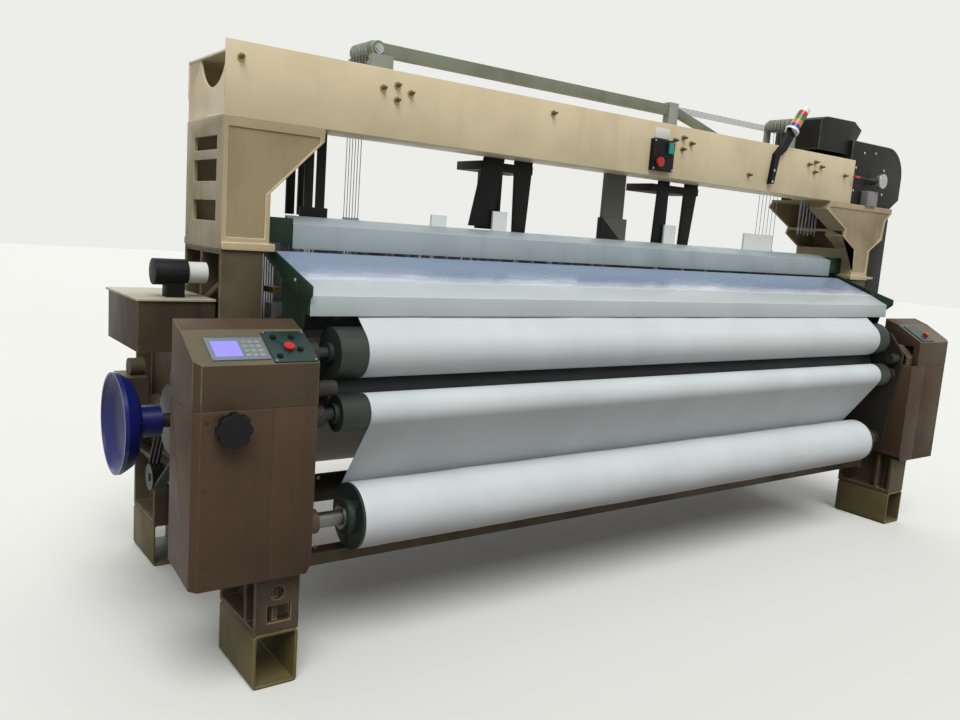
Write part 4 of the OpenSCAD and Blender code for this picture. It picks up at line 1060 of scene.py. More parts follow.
@dataclass
class ScrewHeads(Repeats):
    """Screw heads on washers. Each point holds the way that its head faces.

    Attributes:
        radius_mm: the radius of a head.
        height_mm: the height of a head.
        sides: 6 for a hexagon head, more for a round one.
        washer: the radius and thickness of the washer, as shares of the head's.
    """

    title: ClassVar[str] = "screw heads on points"
    reads: ClassVar[str] = "aim"
    sizes: ClassVar[dict[str, str]] = {
        "Head Radius": "Float", "Head Height": "Float", "Sides": "Int",
    }
    washer: ClassVar[tuple[float, float]] = (1.5, 0.3)
    radius_mm: float
    height_mm: float
    sides: int

    def instance(self, tree: Tree, given: Outputs, vector: Socket) -> dict:
        """Makes a head on its washer.

        Args:
            tree: the node tree.
            given: the tree's inputs.
            vector: the way that each head faces.

        Returns:
            The inputs of Instance on Points that place it.
        """
        radius, height = given["Head Radius"], given["Head Height"]
        wide, thin = (
            add(tree, MATH, {0: size, 1: share}, operation="MULTIPLY")[0]
            for size, share in zip((radius, height), self.washer)
        )
        both = [
            add(tree, "GeometryNodeMeshCylinder", {"Vertices": n, "Radius": r, "Depth": d})[0]
            for n, r, d in ((given["Sides"], radius, height), (20, wide, thin))
        ]
        head = add(tree, "GeometryNodeJoinGeometry", {0: both})[0]
        turn = add(tree, "FunctionNodeAlignRotationToVector", {"Vector": vector}, axis="Z")[0]
        return {"Instance": head, "Rotation": turn}

    def values(self) -> dict:
        """Returns a value for each of the tree's sizes."""
        radius, height = self.radius_mm * MM, self.height_mm * MM
        return {"Head Radius": radius, "Head Height": height, "Sides": self.sides}


@dataclass
class Bars(Repeats):
    """Straight bars. Each point holds the size of its bar."""

    title: ClassVar[str] = "bars on points"
    reads: ClassVar[str] = "span"

    def instance(self, tree: Tree, given: Outputs, vector: Socket) -> dict:
        """Makes a cube that is stretched to each bar's size.

        Args:
            tree: the node tree.
            given: the tree's inputs.
            vector: the size of each bar.

        Returns:
            The inputs of Instance on Points that place it.
        """
        return {"Instance": add(tree, "GeometryNodeMeshCube")[0], "Scale": vector}


# Sub-assemblies


@dataclass
class Castings:
    """The side frames on their riser blocks, the uprights, the top beam and the stays.

    Attributes:
        edge_mm: the rounding of the castings' edges.
        rim: the height of the uprights' rim over their panel.
        washer: the thickness of the beam bolts' washers.
        skin: how far a face's centre may be from its own plane.
    """

    edge_mm: float = 3.0
    rim: float = 0.005
    washer: float = 0.003
    skin: float = 0.0005

    def build(self) -> None:
        """Rounds the castings and dresses the rest."""
        rim = COLUMN_Y + self.rim - self.skin
        for side in ("left", "right"):
            rounded(f"side_frame_{side}", f"side_casting_{side}", Paint.FRAME, self.edge_mm)
            column, edge = f"upright_{side}", self.edge_mm
            # The rim and the recessed panel take darker copies of the beam's cream, which paint
            # the shade under the beam and in the recess.
            rounded(column, f"upright_rim_{side}", Paint.UPRIGHT_IN_SHADE, edge, lambda c: c.y < rim)
            rounded(column, f"upright_panel_{side}", Paint.PANEL, 1.5, lambda c: c.y >= rim)
        rounded("top_beam", "beam_shell", Paint.CREAM, 1.5)
        rounded("riser_blocks", "riser_tubes", Paint.RISER, 1.0)
        face = COLUMN_Y - self.washer - 0.6 * self.skin
        rounded("beam_bolts", "bolt_washers", Paint.WASHER, 0.4, lambda c: c.y > face)
        rounded("beam_bolts", "bolt_heads", Paint.BRASS, 0.6, lambda c: c.y <= face)
        dress(Paint.FRAME, "cross_rails", "back_rest_brackets", "let_off_box")


@dataclass
class Covers:
    """The front cover, the splash guard, the reed cover and their brackets.

    Attributes:
        block_deep: how far the white blocks reach into the reed cover's box, from the back.
    """

    block_deep: float = 0.0125

    def build(self) -> None:
        """Dresses the covers, with the white guide blocks in a plastic of their own."""
        rounded("cover_brackets", "cover_bracket_plates", Paint.BRACKET, 0.8)
        rounded("front_cover", "front_cover_sheet", Paint.COVER, 1.0)
        dress(Paint.SPLASH, "splash_guard")
        dress(Paint.STEEL, "breast_bar")
        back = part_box("reed_cover")[1].y - self.block_deep
        rounded("reed_cover", "reed_cover_sheet", Paint.REED_COVER, 1.0, lambda c: c.y < back)
        rounded("reed_cover", "white_blocks", Paint.WHITE, 1.5, lambda c: c.y >= back)


@dataclass
class Cabinets:
    """The two cabinets at the front corners, with their caps and what is on them.

    Attributes:
        front_y: the cabinets' front face.
        slope_z: the height at which a cap's slope starts.
        tilt: the slope's angle in degrees.
        reach: the part of the slope that is searched for faces, from its lower edge.
        skin: how far a face's centre may be from the slope.
        print_out: the height over the slope that splits the right plate from its light.
        panel_x: the place of the panel, from which its parts are measured.
        panel_split: where the display unit ends and the switch plate starts, from there.
        unit_wide: the width of the display unit.
        unit_out: the height of the display unit's face over the slope.
        plate_out: the height of the switch plate's face.
        screen: the screen's left edge, lower edge, width and length, from the unit's corner.
        key: the same of the first key.
        key_pitch: the distance from key to key, to the right and up.
        keys: the number of keys to the right and up.
    """

    front_y: float = -0.859
    slope_z: float = 1.068
    tilt: float = 30.16
    reach: tuple[float, float] = (0.002, 0.17)
    skin: float = 0.0006
    print_out: float = 0.00605
    panel_x: float = -1.9725
    panel_split: float = 0.0185
    unit_wide: float = 0.163
    unit_out: float = 0.005
    plate_out: float = 0.006
    screen: tuple[float, float, float, float] = (0.014, 0.036, 0.082, 0.072)
    key: tuple[float, float, float, float] = (0.106, 0.034, 0.0165, 0.0145)
    key_pitch: tuple[float, float] = (0.0215, 0.0205)
    keys: tuple[int, int] = (3, 4)

    def build(self) -> None:
        """Rounds the cabinets and their caps, and builds the panel, the button and the knob."""
        for side in ("left", "right"):
            # The cabinet shells take a dark brown that is painted shade.
            rounded(f"cabinet_{side}", f"cabinet_shell_{side}", Paint.CABINET_IN_SHADE, 1.6)
            rounded(f"cap_{side}", f"cap_shell_{side}", Paint.CAP, 2.2, self.on_shell)
            rounded(f"cap_{side}", f"cap_slope_{side}", Paint.SLOPE, 0, self.on_slope)
        plate = partial(self.raised, self.skin, self.print_out)
        light = partial(self.raised, self.print_out, math.inf)
        rounded("cap_right", "cap_switch_plate", Paint.PRINT, 0, plate)
        rounded("cap_right", "cap_light", Paint.RED, 0, light)
        split = self.panel_x + self.panel_split
        rounded("control_panel", "display_unit", Paint.KEYPAD, 1.2, lambda c: c.x < split)
        rounded("control_panel", "switch_plate", Paint.PRINT, 1.0, lambda c: c.x >= split)
        self.display()
        dress(Paint.RED, "panel_button")
        rounded("clamp_knob", "clamp_knob_moulding", Paint.BLACK, 2.5, None, 3)
        self.screws()

    def slope_of(self, point: Vector) -> tuple[float, float]:
        """Returns how far a point is up the slope, and how far it is above it."""
        y, z = point.y - self.front_y, point.z - self.slope_z
        c, s = math.cos(math.radians(self.tilt)), math.sin(math.radians(self.tilt))
        return y * c + z * s, z * c - y * s

    def on_cap(self, x: float, up: float, out: float) -> Vector:
        """Returns the point at x, up the slope and above it, all in metres."""
        c, s = math.cos(math.radians(self.tilt)), math.sin(math.radians(self.tilt))
        return Vector((x, self.front_y + up * c - out * s, self.slope_z + up * s + out * c))

    def raised(self, low: float, high: float, centre: Vector) -> bool:
        """Says whether a point is between two heights above a cap's slope."""
        up, out = self.slope_of(centre)
        return low <= out < high and self.reach[0] < up < self.reach[1]

    def on_shell(self, centre: Vector) -> bool:
        """Says whether a point is on a cap, but not on its slope or on what stands on that."""
        return not self.raised(-self.skin, math.inf, centre)

    def on_slope(self, centre: Vector) -> bool:
        """Says whether a point lies on the slope of a cap, between its front and back edges."""
        return self.raised(-self.skin, self.skin, centre)

    def slabs(
        self, name: str, paint: Paint, places: Sequence[Sequence[float]], thick: float, soft: float
    ) -> None:
        """Builds slabs that lie on the display unit.

        Args:
            name: the piece's name.
            paint: what they are made of.
            places: the left edge, lower edge, width and length of each.
            thick: how far they rise from just under the unit's face.
            soft: the rounding of their edges, 0 for none.
        """
        low = self.unit_out - 0.0004
        shape = bmesh.new()
        for x, up, wide, tall in places:
            corners = [
                shape.verts.new(self.on_cap(x + wide * i, up + tall * j, low + thick * k))
                for k in (0, 1)
                for i, j in ((0, 0), (1, 0), (1, 1), (0, 1))
            ]
            rings = [(3, 2, 1, 0), (4, 5, 6, 7)]
            rings += [(a, (a + 1) % 4, (a + 1) % 4 + 4, a + 4) for a in range(4)]
            for ring in rings:
                shape.faces.new([corners[i] for i in ring])
        if soft:
            bmesh.ops.bevel(
                shape,
                geom=shape.edges[:],
                offset=soft,
                offset_type="OFFSET",
                segments=2,
                profile=0.5,
                affect="EDGES",
            )
        settle(poured(shape, name), name, paint)

    def display(self) -> None:
        """Builds the display's screen and keys, the small switches and the panel's screws."""
        left = self.panel_x - self.unit_wide
        x, up, wide, tall = self.screen
        self.slabs("display_screen", Paint.SCREEN, [(left + x, up, wide, tall)], 0.0012, 0)
        x, up, wide, tall = self.key
        keys = [
            (left + x + i * self.key_pitch[0], up + j * self.key_pitch[1], wide, tall)
            for j in range(self.keys[1])
            for i in range(self.keys[0])
        ]
        self.slabs("display_keys", Paint.POST, keys, 0.0018, 0.0008)
        normal = self.on_cap(0, 0, 1) - self.on_cap(0, 0, 0)
        switches = [
            (self.on_cap(self.panel_x + x, up, self.plate_out + 0.003), normal)
            for x, up in ((0.052, 0.122), (0.112, 0.122), (0.122, 0.060), (0.045, 0.030))
        ]
        ScrewHeads(7.0, 7.0, 24).place("plate_switches", switches, Paint.BLACK)
        spots = [
            (self.on_cap(x, up, out + 0.0008), normal)
            for xs, ups, out in (
                ((left + 0.005, left + 0.173), (0.0275, 0.1205), self.unit_out),
                ((self.panel_x + 0.028, self.panel_x + 0.156), (0.011, 0.147), self.plate_out),
            )
            for x in xs
            for up in ups
        ]
        ScrewHeads(2.6, 2.0, 16).place("panel_screws", spots, Paint.STEEL)

    def screws(self) -> None:
        """Sets the screws that hold the cabinets' front sheets."""
        spots = [
            ((side * x, self.front_y - 0.0012, z), FRONT)
            for side in (-1, 1)
            for x in (1.795, 2.155)
            for z in (0.47, 0.70, 0.905)
        ]
        # The screw heads take the cabinets' dark brown, which is painted shade.
        ScrewHeads(4.2, 3.0, 18).place("cabinet_screws", spots, Paint.CABINET_IN_SHADE)


@dataclass
class ClothPath:
    """The rollers, the cloth that runs over them, and the roll it is wound on.

    Attributes:
        gap: the distance between the cloth and a roller.
        thickness: the thickness of the cloth in the CAD.
        fell_z: the height at which the cloth starts.
        hub_x: where the roll's hubs end, from the middle of the loom.
        collar_x: where its collars start and end.
        core: the radius of the shaft in the roll.
        soft_edge: how much smaller the roll is at its ends, where the last turns give way.
        ridge: the depth of the soft ridges on it.
        turn_step: how far every second turn stands back at the ends.
        around: the number of faces round the roll.
        along: the number of faces along it.
        rings: the number of turns that show at its ends.
    """

    gap: float = 0.0004
    thickness: float = 0.0012
    fell_z: float = 1.262
    hub_x: float = 1.6195
    collar_x: tuple[float, float] = (1.7202, 1.7508)
    core: float = 0.0412
    soft_edge: float = 0.004
    ridge: float = 0.0016
    turn_step: float = 0.0012
    around: int = 96
    along: int = 260
    rings: int = 18

    def wraps(self) -> list[Wrap]:
        """Returns the circles that the cloth runs over, from the fell to the roll."""
        off = self.gap + self.thickness / 2
        order = (
            ("breast_bar", 1),
            ("press_roller_upper", 1),
            ("surface_roller", -1),
            ("press_roller_lower", 1),
            ("cloth_roll", -1),
        )
        found = [Wrap(Vector((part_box("cloth_web")[1].y, self.fell_z)), 0)]
        for node, turn in order:
            centre, radius = circle_of(node)
            found.append(Wrap(centre, radius + off, turn))
        last = Web.point(found[-1], Web.heading(found[-2], found[-1]))
        return found[:-1] + [Wrap(last, 0)]

    def build(self) -> None:
        """Builds the cloth and its roll, and dresses the rollers."""
        rollers = ["press_roller_upper", "surface_roller", "press_roller_lower"]
        dress(Paint.RUBBER, *rollers)
        dress(Paint.OILY, "roller_brackets")
        inner, outer = self.collar_x
        for name, paint, start, end in (
            ("cloth_beam_hubs", Paint.HUB, 0.0, self.hub_x),
            ("cloth_beam_stubs", Paint.OILED, self.hub_x, inner),
            ("cloth_beam_collars", Paint.COLLAR, inner, outer),
            ("cloth_beam_journals", Paint.STEEL, outer, math.inf),
        ):
            rounded("cloth_shaft", name, paint, 0, partial(self.between, start, end))
        low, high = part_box("cloth_web")
        mesh, length = Web(self.wraps()).mesh("cloth", low.x, high.x)
        cloth = settle(mesh, "cloth", Paint.CLOTH, "frame", ["cloth_web"], 60)
        self.roll()

    @staticmethod
    def between(start: float, end: float, centre: Vector) -> bool:
        """Says whether a point is between two distances from the middle of the loom."""
        return start <= abs(centre.x) < end

    def profile(self) -> list[tuple[float, float, float]]:
        """Lays out the roll's outline from its left end over the top to its right end.

        Returns:
            Points as (x, radius, softness), where softness is 0 at the ends and 1 between.
        """
        low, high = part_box("cloth_roll")
        radius = circle_of("cloth_roll")[1]
        edge = self.soft_edge
        turns = [
            (self.turn_step * (k % 2), self.core + (radius - edge - self.core) * k / self.rings)
            for k in range(self.rings + 1)
        ]
        wide = high.x - low.x - 2 * edge
        left = [(low.x + inset, r, 0.0) for inset, r in turns]
        top = [
            (low.x + edge + wide * k / self.along, radius - 0.001, 1.0)
            for k in range(self.along + 1)
        ]
        right = [(high.x - inset, r, 0.0) for inset, r in reversed(turns)]
        return left + top + right

    def roll(self) -> None:
        """Builds the cloth roll, with soft ridges and the edges of its turns."""
        centre, radius = circle_of("cloth_roll")
        around, profile = self.around, self.profile()
        points, faces, uvs = [], [], []
        run = 0.0
        for i, (x, r, soft) in enumerate(profile):
            if i:
                run += math.hypot(x - profile[i - 1][0], r - profile[i - 1][1])
            for a in range(around):
                angle = 2 * math.pi * a / around
                c, s = math.cos(angle), math.sin(angle)
                # ridges about 250 mm long, with others of about 70 mm on them
                wave = noise.noise(Vector((x * 4.0, c * 1.5, s * 1.5)))
                wave += 0.6 * noise.noise(Vector((x * 14.0 + c * 3, c * 2.0, s * 2.0 + 9)))
                sunk = r - soft * self.ridge * (1 - max(-1.0, min(1.0, wave)))
                points.append((x, centre.x + sunk * c, centre.y + sunk * s))
                uvs.append((run, angle * radius))
        count = len(profile)
        for i in range(count):
            here, there = i * around, (i + 1) % count * around
            for a in range(around):
                b = (a + 1) % around
                faces.append((here + a, here + b, there + b, there + a))
        mesh = mesh_from("cloth_roll_turns", points, faces, uvs, closed=True)
        settle(mesh, "cloth_roll_turns", Paint.CLOTH, "wound_cloth", ["cloth_roll"], 45)


@dataclass
class WeavingUnit:
    """The sley and reed, the heald frames, their cables and guides, and the harness.

    Attributes:
        frames: the number of heald frames.
        bar: the y of the harness bar's face and the height of its middle.
        bar_half: half the height of the bar, with room for its rounding.
        bar_x: the two ends of the long bar.
        brace_x: the two ends of the brace at its right.
        pad: the low and high corner of the wide cover between the middle guides, as (x, z).
        axles: the sheaves' axles, as (x, z).
        rim: the radius at which a sheave's rim starts.
        dent_pitch: the spacing of the dents. A real reed has one each millimetre or less.
        dent: the width of a dent.
        baulk: the height of the reed's upper baulk.
        sole: the height of its lower baulk.
        post: the width of its end bars.
        lap: how far the dents reach into the baulks.
        wire: the width and thickness of a heald wire.
        wire_pitch: the spacing of the heald wires, which are under 1 mm apart in a real loom.
        wire_more: how much that grows from frame to frame, so that no straight gap is left.
        wire_shift: how far the wires shift from frame to frame.
        frame_tall: the height of a heald frame.
        frame_bar: how far the wires start from its lower and upper edge.
        frame_sides: the room that its two side bars take.
    """

    frames: int = 6
    bar: tuple[float, float] = (-0.274, 2.158)
    bar_half: float = 0.034
    bar_x: tuple[float, float] = (-1.38, 0.2695)
    brace_x: tuple[float, float] = (0.3305, 0.9)
    pad: tuple[float, float, float, float] = (-0.0940, 1.5605, 0.0370, 1.8195)
    axles: tuple[tuple[float, float], ...] = ((-1.3402, 2.158), (1.3048, 2.220))
    rim: float = 0.0343
    dent_pitch: float = 0.004
    dent: float = 0.0014
    baulk: float = 0.014
    sole: float = 0.024
    post: float = 0.024
    lap: float = 0.002
    wire: tuple[float, float] = (0.0015, 0.0018)
    wire_pitch: float = 0.006
    wire_more: float = 0.043
    wire_shift: float = 0.0011
    frame_tall: float = 0.358
    frame_bar: float = 0.02
    frame_sides: float = 0.08

    def build(self) -> None:
        """Dresses the moving frames and what holds them."""
        dress(Paint.SLEY, "sley")
        self.dents()
        self.wires()
        dress(Paint.HEALD, *(f"heald_frame_{i + 1}" for i in range(self.frames)))
        dress(Paint.CABLE, "heald_cables")
        guides, bar, sheaves = "heald_guides", "harness_bar", "harness_pulleys"
        rounded(guides, "heald_guide_bars", Paint.BLACK, 1.5, lambda c: not self.on_pad(c))
        rounded(guides, "heald_guide_cover", Paint.PAD, 1.5, self.on_pad)
        rounded(bar, "harness_bar_casting", Paint.HARNESS, 1.5, self.on_bar)
        rounded(bar, "harness_posts", Paint.POST, 1.2, lambda c: not self.on_bar(c))
        rounded(sheaves, "sheave_rims", Paint.RIM, 0, self.on_rim)
        rounded(sheaves, "sheave_sides", Paint.SHEAVE, 0, lambda c: not self.on_rim(c))
        ReturnSprings().build()
        x, z = self.axles[0]
        nut = [((x, self.bar[0] - 0.004, z), FRONT)]
        ScrewHeads(13.0, 10.0, 6).place("axle_nut", nut, Paint.STEEL)

    def on_pad(self, centre: Vector) -> bool:
        """Says whether a point is on the wide cover between the middle guides."""
        x0, z0, x1, z1 = self.pad
        return x0 < centre.x < x1 and z0 < centre.z < z1

    def on_bar(self, centre: Vector) -> bool:
        """Says whether a point is on the long bar or its brace, and not on a post."""
        level = abs(centre.z - self.bar[1]) < self.bar_half
        along = self.bar_x[0] < centre.x < self.bar_x[1]
        return along and level or self.brace_x[0] < centre.x < self.brace_x[1]

    def on_rim(self, centre: Vector) -> bool:
        """Says whether a point is on the outer rim of a sheave."""
        reaches = (math.hypot(centre.x - x, centre.z - z) for x, z in self.axles)
        return any(self.rim < reach < self.rim * 1.3 for reach in reaches)

    def dents(self) -> None:
        """Builds the reed: two baulks, two end bars and the dents between them."""
        low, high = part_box("reed")
        centre, size = (low + high) / 2, high - low
        spots = [
            ((centre.x, centre.y, low.z + self.sole / 2), (size.x, size.y, self.sole)),
            ((centre.x, centre.y, high.z - self.baulk / 2), (size.x, size.y, self.baulk)),
        ]
        for x in (low.x + self.post / 2, high.x - self.post / 2):
            span = (self.post, size.y * 0.9, size.z - self.lap)
            spots.append(((x, centre.y, centre.z), span))
        count = int((size.x - 2 * self.post) / self.dent_pitch)
        start = centre.x - (count - 1) * self.dent_pitch / 2
        tall = size.z - self.sole - self.baulk + 2 * self.lap
        middle = low.z + self.sole - self.lap + tall / 2
        for k in range(count):
            place = (start + k * self.dent_pitch, centre.y, middle)
            spots.append((place, (self.dent, size.y * 0.66, tall)))
        Bars().place("reed_dents", spots, Paint.STEEL, body_of("reed"), ["reed"])

    def wires(self) -> None:
        """Builds the heald wires of each frame."""
        span = (*self.wire, self.frame_tall - 2 * self.frame_bar)
        for i in range(self.frames):
            node = f"heald_frame_{i + 1}"
            low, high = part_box(node)
            pitch = self.wire_pitch * (1 + self.wire_more * i)
            count = int((high.x - low.x - self.frame_sides) / pitch)
            shift = self.wire_shift * (i - (self.frames - 1) / 2)
            start = (low.x + high.x) / 2 - (count - 1) * pitch / 2 + shift
            y, z = (low.y + high.y) / 2, low.z + self.frame_tall / 2
            spots = [((start + k * pitch, y, z), span) for k in range(count)]
            Bars().place(f"heald_wires_{i + 1}", spots, Paint.WIRE, body_of(node))


@dataclass
class ReturnSprings:
    """The return springs that hang from the beam's flange at the right.

    Attributes:
        count: the number of springs.
        first: the top of the first spring.
        pitch: the distance from one to the next.
        stagger: how far every second one stands back.
        drop: the length of a spring.
        uneven: how much that length varies.
        wire: the radius of the wire.
        coil: the radius of a turn.
        end: the radius of the first and last turns, which close the spring.
        turns: the number of turns.
        ring: the number of points in a turn.
        sides: the number of faces round the wire.
    """

    count: int = 12
    first: Triple = (1.455, -0.262, 1.8203)
    pitch: float = 0.0165
    stagger: float = 0.010
    drop: float = 0.19
    uneven: float = 0.012
    wire: float = 0.0012
    coil: float = 0.0045
    end: float = 0.0009
    turns: int = 26
    ring: int = 10
    sides: int = 5

    def build(self) -> None:
        """Builds the springs as one piece."""
        points, faces = [], []
        for k in range(self.count):
            rings = self.turned(k)
            base, last = len(points), len(points) + (len(rings) - 1) * self.sides
            points += [point for ring in rings for point in ring]
            for c in range(base, last, self.sides):
                d = c + self.sides
                for a in range(self.sides):
                    b = (a + 1) % self.sides
                    faces.append((c + a, c + b, d + b, d + a))
            faces.append([base + a for a in range(self.sides)])
            faces.append([last + a for a in reversed(range(self.sides))])
        mesh = mesh_from("return_springs", points, faces, closed=True)
        settle(mesh, "return_springs", Paint.SPRING, "frame", (), 60)

    def turned(self, k: int) -> list[list[Vector]]:
        """Winds one spring.

        Args:
            k: its place in the row.

        Returns:
            The corners of the wire's section, at each point along it.
        """
        x0, y0, top = self.first
        x, y = x0 + k * self.pitch, y0 + self.stagger * (k % 2)
        drop = self.drop + self.uneven * math.sin(k * 2.1)
        count = self.turns * self.ring
        found = []
        for i in range(count + 1):
            angle = 2 * math.pi * i / self.ring
            out = Vector((math.cos(angle), math.sin(angle), 0))
            r = self.coil if 2 < i < count - 2 else self.end
            centre = Vector((x, y, top - drop * i / count)) + out * r
            section = []
            for a in range(self.sides):
                b = 2 * math.pi * a / self.sides
                lift = Vector((0, 0, self.wire * math.sin(b)))
                section.append(centre + out * self.wire * math.cos(b) + lift)
            found.append(section)
        return found


@dataclass
class Drive:
    """The crankshaft, its handwheel, the belts and the motor."""

    def build(self) -> None:
        """Dresses the drive."""
        dress(Paint.OILY, "crankshaft", "motor_pulley")
        dress(Paint.NAVY, "handwheel")
        dress(Paint.MOTOR, "motor")
        dress(Paint.BELT, "drive_belt")


@dataclass
class Dobby:
    """The dobby's housing, its lever and the case over its drive.

    Attributes:
        face_y: the front of the housing.
        skin: how far a face's centre may be from that plane.
        split_x: where the arm ends and the housing starts.
        disc_x: where the lever's bar ends and its disc starts.
        tip_x: where its red tip ends.
        pivot_low: the lowest point of the lever's pivot.
        screw_spots: the screws round the front plate, as (x, z).
    """

    face_y: float = -0.387
    skin: float = 0.0006
    split_x: float = 1.7045
    disc_x: float = 1.9065
    tip_x: float = 1.7095
    pivot_low: float = 1.918
    screw_spots: tuple[tuple[float, float], ...] = (
        (1.76, 1.90), (1.76, 2.03), (1.83, 2.12), (1.95, 2.13), (2.06, 2.04), (2.07, 1.90),
    )

    def build(self) -> None:
        """Rounds the housing and splits it, the lever and the switch by finish."""
        front, split, pivot = self.face_y - self.skin, self.split_x, self.pivot_low
        for name, paint, radius, keep, segments in (
            ("dobby_housing", Paint.DOBBY, 4, lambda c: c.y >= front and c.x >= split, 3),
            ("dobby_arm", Paint.ARM, 4, lambda c: c.y >= front and c.x < split, 3),
            ("dobby_switch", Paint.SWITCH, 1.5, lambda c: c.y < front and c.z < pivot, 2),
            ("lever_pivot", Paint.STEEL, 0, lambda c: c.y < front and c.z >= pivot, 2),
        ):
            rounded("dobby_body", name, paint, radius, keep, segments)
        tip, disc = self.tip_x, self.disc_x
        rounded("dobby_lever", "lever_disc", Paint.STEEL, 0.8, lambda c: c.x >= disc)
        rounded("dobby_lever", "lever_bar", Paint.OILY, 0.5, lambda c: tip <= c.x < disc)
        rounded("dobby_lever", "lever_tip", Paint.RED, 0, lambda c: c.x < tip)
        rounded("dobby_drive_case", "drive_case", Paint.DOBBY, 4.0, None, 3)
        spots = [((x, self.face_y - 0.0014, z), FRONT) for x, z in self.screw_spots]
        heads = ScrewHeads(5.0, 4.5, 6)
        heads.place("housing_screws", spots, Paint.STEEL, body_of("dobby_body"))


@dataclass
class WarpSide:
    """The warp beam, the back rest and the warp sheet."""

    def build(self) -> None:
        """Dresses the warp side."""
        dress(Paint.BARREL, "warp_beam")
        dress(Paint.YARN, "warp_yarn", "warp_sheet")
        dress(Paint.STEEL, "back_rest")


@dataclass
class Controls:
    """The switch box and the signal tower on the beam.

    Attributes:
        plate_z: where the switch box ends and the number plate starts.
        foot: the middle of the lamps' lower end.
        lean: the lamps' lean to the right, in degrees.
        disc: the height of the disc under them.
        lamp: the height of one lamp.
        stem: half the width of the arm where it meets the disc.
        skin: how far a face's centre may be from its own plane.
        box_deep: the depth of the switch box and of the arm's foot.
        box_screws: the screws of the switch box, as (x, z).
        arm_screws: the screws of the arm's foot, as (x, z).
    """

    plate_z: float = 1.9915
    foot: Triple = (1.0465, -0.429, 2.140)
    lean: float = 37.0
    disc: float = 0.0143
    lamp: float = 0.030
    stem: float = 0.0125
    skin: float = 0.0002
    box_deep: float = 0.024
    box_screws: tuple[tuple[float, float], ...] = (
        (0.0235, 1.852), (0.1475, 1.852), (0.0235, 1.978), (0.1475, 1.978),
    )
    arm_screws: tuple[tuple[float, float], ...] = ((0.919, 1.872), (0.925, 1.93))

    def build(self) -> None:
        """Dresses the switch box, its buttons and the tower's lamps."""
        top = self.plate_z
        rounded("switch_box", "switch_box_moulding", Paint.BLACK, 2.0, lambda c: c.z < top)
        rounded("switch_box", "number_plate", Paint.PLATE, 0.6, lambda c: c.z >= top)
        dress(Paint.RED, "red_button")
        dress(Paint.TEAL, "green_button")
        rounded("signal_tower", "tower_arm", Paint.BLACK, 0, self.on_arm)
        rounded("signal_tower", "tower_disc", Paint.LENS_WHITE, 0, self.on_disc)
        lenses = (
            Paint.LENS_BLUE, Paint.LENS_ORANGE, Paint.LENS_GREEN, Paint.LENS_RED, Paint.LENS_WHITE,
        )
        for i, lens in enumerate(lenses):
            last = lens is lenses[-1]
            low = self.disc + i * self.lamp
            high = math.inf if last else self.disc + (i + 1) * self.lamp
            inside = partial(self.on_lamp, low, high)
            rounded("signal_tower", f"tower_lamp_{i + 1}", lens, 0, inside)
        face = COLUMN_Y - self.box_deep
        for name, heads, places, sunk in (
            ("switch_box_screws", ScrewHeads(3.0, 2.2, 18), self.box_screws, 0.0006),
            ("tower_arm_screws", ScrewHeads(5.0, 5.0, 6), self.arm_screws, 0.001),
        ):
            heads.place(name, [((x, face - sunk, z), FRONT) for x, z in places], Paint.STEEL)

    def up(self, centre: Vector) -> tuple[float, bool]:
        """Returns how far a point is up the lamps, and whether it is beside the arm."""
        lean = math.radians(self.lean)
        axis = Vector((math.sin(lean), 0, math.cos(lean)))
        return (centre - Vector(self.foot)).dot(axis), abs(centre.y - self.foot[1]) > self.stem

    def on_arm(self, centre: Vector) -> bool:
        """Says whether a point is on the bent arm."""
        height, beside = self.up(centre)
        return height < self.skin and not (beside and height > -5 * self.skin)

    def on_disc(self, centre: Vector) -> bool:
        """Says whether a point is on the disc under the lamps."""
        height, beside = self.up(centre)
        return -5 * self.skin <= height < self.disc and (beside or height >= self.skin)

    def on_lamp(self, low: float, high: float, centre: Vector) -> bool:
        """Says whether a point is between two heights along the lamps' axis."""
        return low <= self.up(centre)[0] < high


@dataclass
class WeftSide:
    """The box at the left with the pump and the weft feeder.

    Attributes:
        top_z: where the box ends and its flat top starts.
        drum_x: the two ends of the feeder's drum.
    """

    top_z: float = 1.2052
    drum_x: tuple[float, float] = (-2.0605, -1.9905)

    def build(self) -> None:
        """Dresses the weft side."""
        top = self.top_z
        rounded("side_box", "side_box_shell", Paint.FRAME, 1.5, lambda c: c.z < top)
        rounded("side_box", "side_box_top", Paint.TABLE, 2.0, lambda c: c.z >= top)
        dress(Paint.BRASS, "water_pump")
        rounded("weft_feeder", "feeder_drum", Paint.FEEDER, 0.8, self.on_drum)
        rounded("weft_feeder", "feeder_motor", Paint.BLACK, 1.2, lambda c: not self.on_drum(c))

    def on_drum(self, centre: Vector) -> bool:
        """Says whether a point is on the feeder's drum."""
        return self.drum_x[0] <= centre.x < self.drum_x[1]


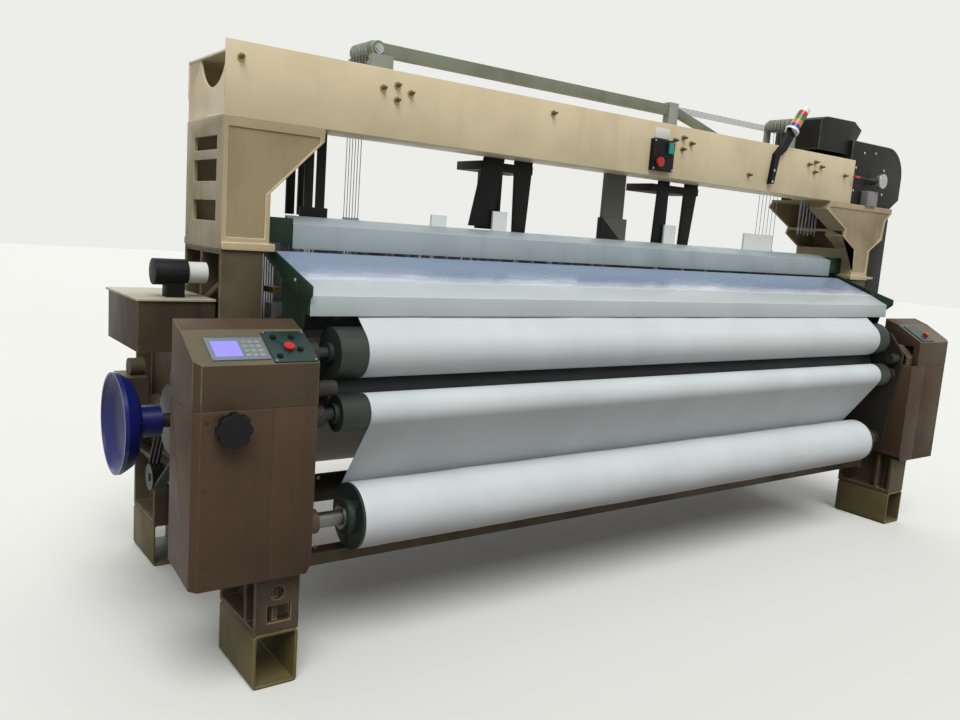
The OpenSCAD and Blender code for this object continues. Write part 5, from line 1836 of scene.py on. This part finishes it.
@dataclass
class Studio:
    """The floor, the light and the camera.

    Attributes:
        place: the camera's place.
        yaw: its turn to the right of +Y, in degrees.
        pitch: its tilt down, in degrees.
        roll: its roll, in degrees.
        lens: its focal length in millimetres on a 36 mm wide sensor.
        floor_half: half the width of the floor.
        floor: the colour that the camera sees on the floor.
        bounce: the floor's colour in the light that it throws back.
        shown: the colour of the world that the camera sees.
        even: the colour of the world's light.
        strength: the strength of that light.
        suns: the name, strength, softness in degrees and direction of each sun.
    """

    place: Triple = (-2.9635, -3.2588, 1.5)
    yaw: float = 36.41
    pitch: float = 8.406
    roll: float = 4.140
    lens: float = 32.17
    floor_half: float = 30.0
    floor: str = "#DCDCD8"
    bounce: str = "#6A625C"
    shown: str = "#EDEDEA"
    even: str = "#F4F4F2"
    strength: float = 0.46
    suns: tuple[tuple[str, float, float, Triple], ...] = (
        ("key", 2.6, 40, (0.22, 0.52, -0.82)),
        ("fill", 1.0, 70, (-0.35, -0.82, -0.38)),
    )

    def build(self) -> None:
        """Makes the floor, the light and the camera."""
        corners = ((-1, -1), (1, -1), (1, 1), (-1, 1))
        half = self.floor_half
        mesh = mesh_from("floor", [(x * half, y * half, 0) for x, y in corners], [range(4)])
        mat = bpy.data.materials.new("studio floor, matt")
        mat.use_nodes = True
        tree = mat.node_tree
        colours = {0: self.seen(tree), 6: linear(self.bounce), 7: linear(self.floor)}
        tone = add(tree, MIX, colours, data_type="RGBA")[2]
        feed(tree, tree.nodes["Principled BSDF"], {"Base Color": tone, "Roughness": 0.9})
        mesh.materials.append(mat)
        floor = bpy.data.objects.new("floor", mesh)
        bpy.context.scene.collection.objects.link(floor)
        self.light()
        self.camera()
        bpy.context.scene.view_settings.view_transform = "Standard"

    @staticmethod
    def seen(tree: Tree) -> Socket:
        """Returns 1 for what the camera sees, also in gloss and through clear sheets."""
        path = add(tree, "ShaderNodeLightPath")
        found = path["Is Camera Ray"]
        for ray in ("Is Glossy Ray", "Is Transmission Ray"):
            found = add(tree, MATH, {0: found, 1: path[ray]}, operation="MAXIMUM")[0]
        return found

    def light(self) -> None:
        """Makes the world's even light, a soft key light and a weak fill from behind."""
        world = bpy.data.worlds.new("studio")
        bpy.context.scene.world = world
        world.use_nodes = True
        tree = world.node_tree
        tree.nodes.clear()
        even, shown = (
            add(tree, "ShaderNodeBackground", {"Color": linear(code), "Strength": power})[0]
            for code, power in ((self.even, self.strength), (self.shown, 1.0))
        )
        mix = add(tree, "ShaderNodeMixShader", {0: self.seen(tree), 1: even, 2: shown})[0]
        add(tree, "ShaderNodeOutputWorld", {"Surface": mix})
        for name, energy, soft, aim in self.suns:
            lamp = bpy.data.lights.new(name, "SUN")
            lamp.energy = energy
            lamp.angle = math.radians(soft)
            holder = bpy.data.objects.new(name, lamp)
            holder.rotation_euler = Vector(aim).to_track_quat("-Z", "Y").to_euler()
            bpy.context.scene.collection.objects.link(holder)

    def camera(self) -> None:
        """Makes the camera at the photograph's view."""
        yaw, pitch, roll = (math.radians(a) for a in (self.yaw, self.pitch, self.roll))
        level = math.cos(pitch)
        forward = Vector((math.sin(yaw) * level, math.cos(yaw) * level, -math.sin(pitch)))
        side = Vector((math.cos(yaw), -math.sin(yaw), 0))
        top = side.cross(forward)
        right = side * math.cos(roll) + top * math.sin(roll)
        up = top * math.cos(roll) - side * math.sin(roll)
        data = bpy.data.cameras.new("camera")
        data.lens = self.lens
        data.sensor_width = 36
        data.clip_end = 200
        camera = bpy.data.objects.new("camera", data)
        turn = Matrix((right, up, -forward)).transposed()
        camera.matrix_world = Matrix.Translation(self.place) @ turn.to_4x4()
        bpy.context.scene.collection.objects.link(camera)
        bpy.context.scene.camera = camera


def main() -> None:
    """Builds the loom's looks and the studio."""
    logging.basicConfig(level=logging.INFO, format="%(name)s: %(message)s")
    for assembly in (
        Castings(),
        Covers(),
        Cabinets(),
        ClothPath(),
        WeavingUnit(),
        Drive(),
        Dobby(),
        WarpSide(),
        Controls(),
        WeftSide(),
        Studio(),
    ):
        LOG.info("building %s", type(assembly).__name__)
        assembly.build()


if __name__ == "__main__":
    main()
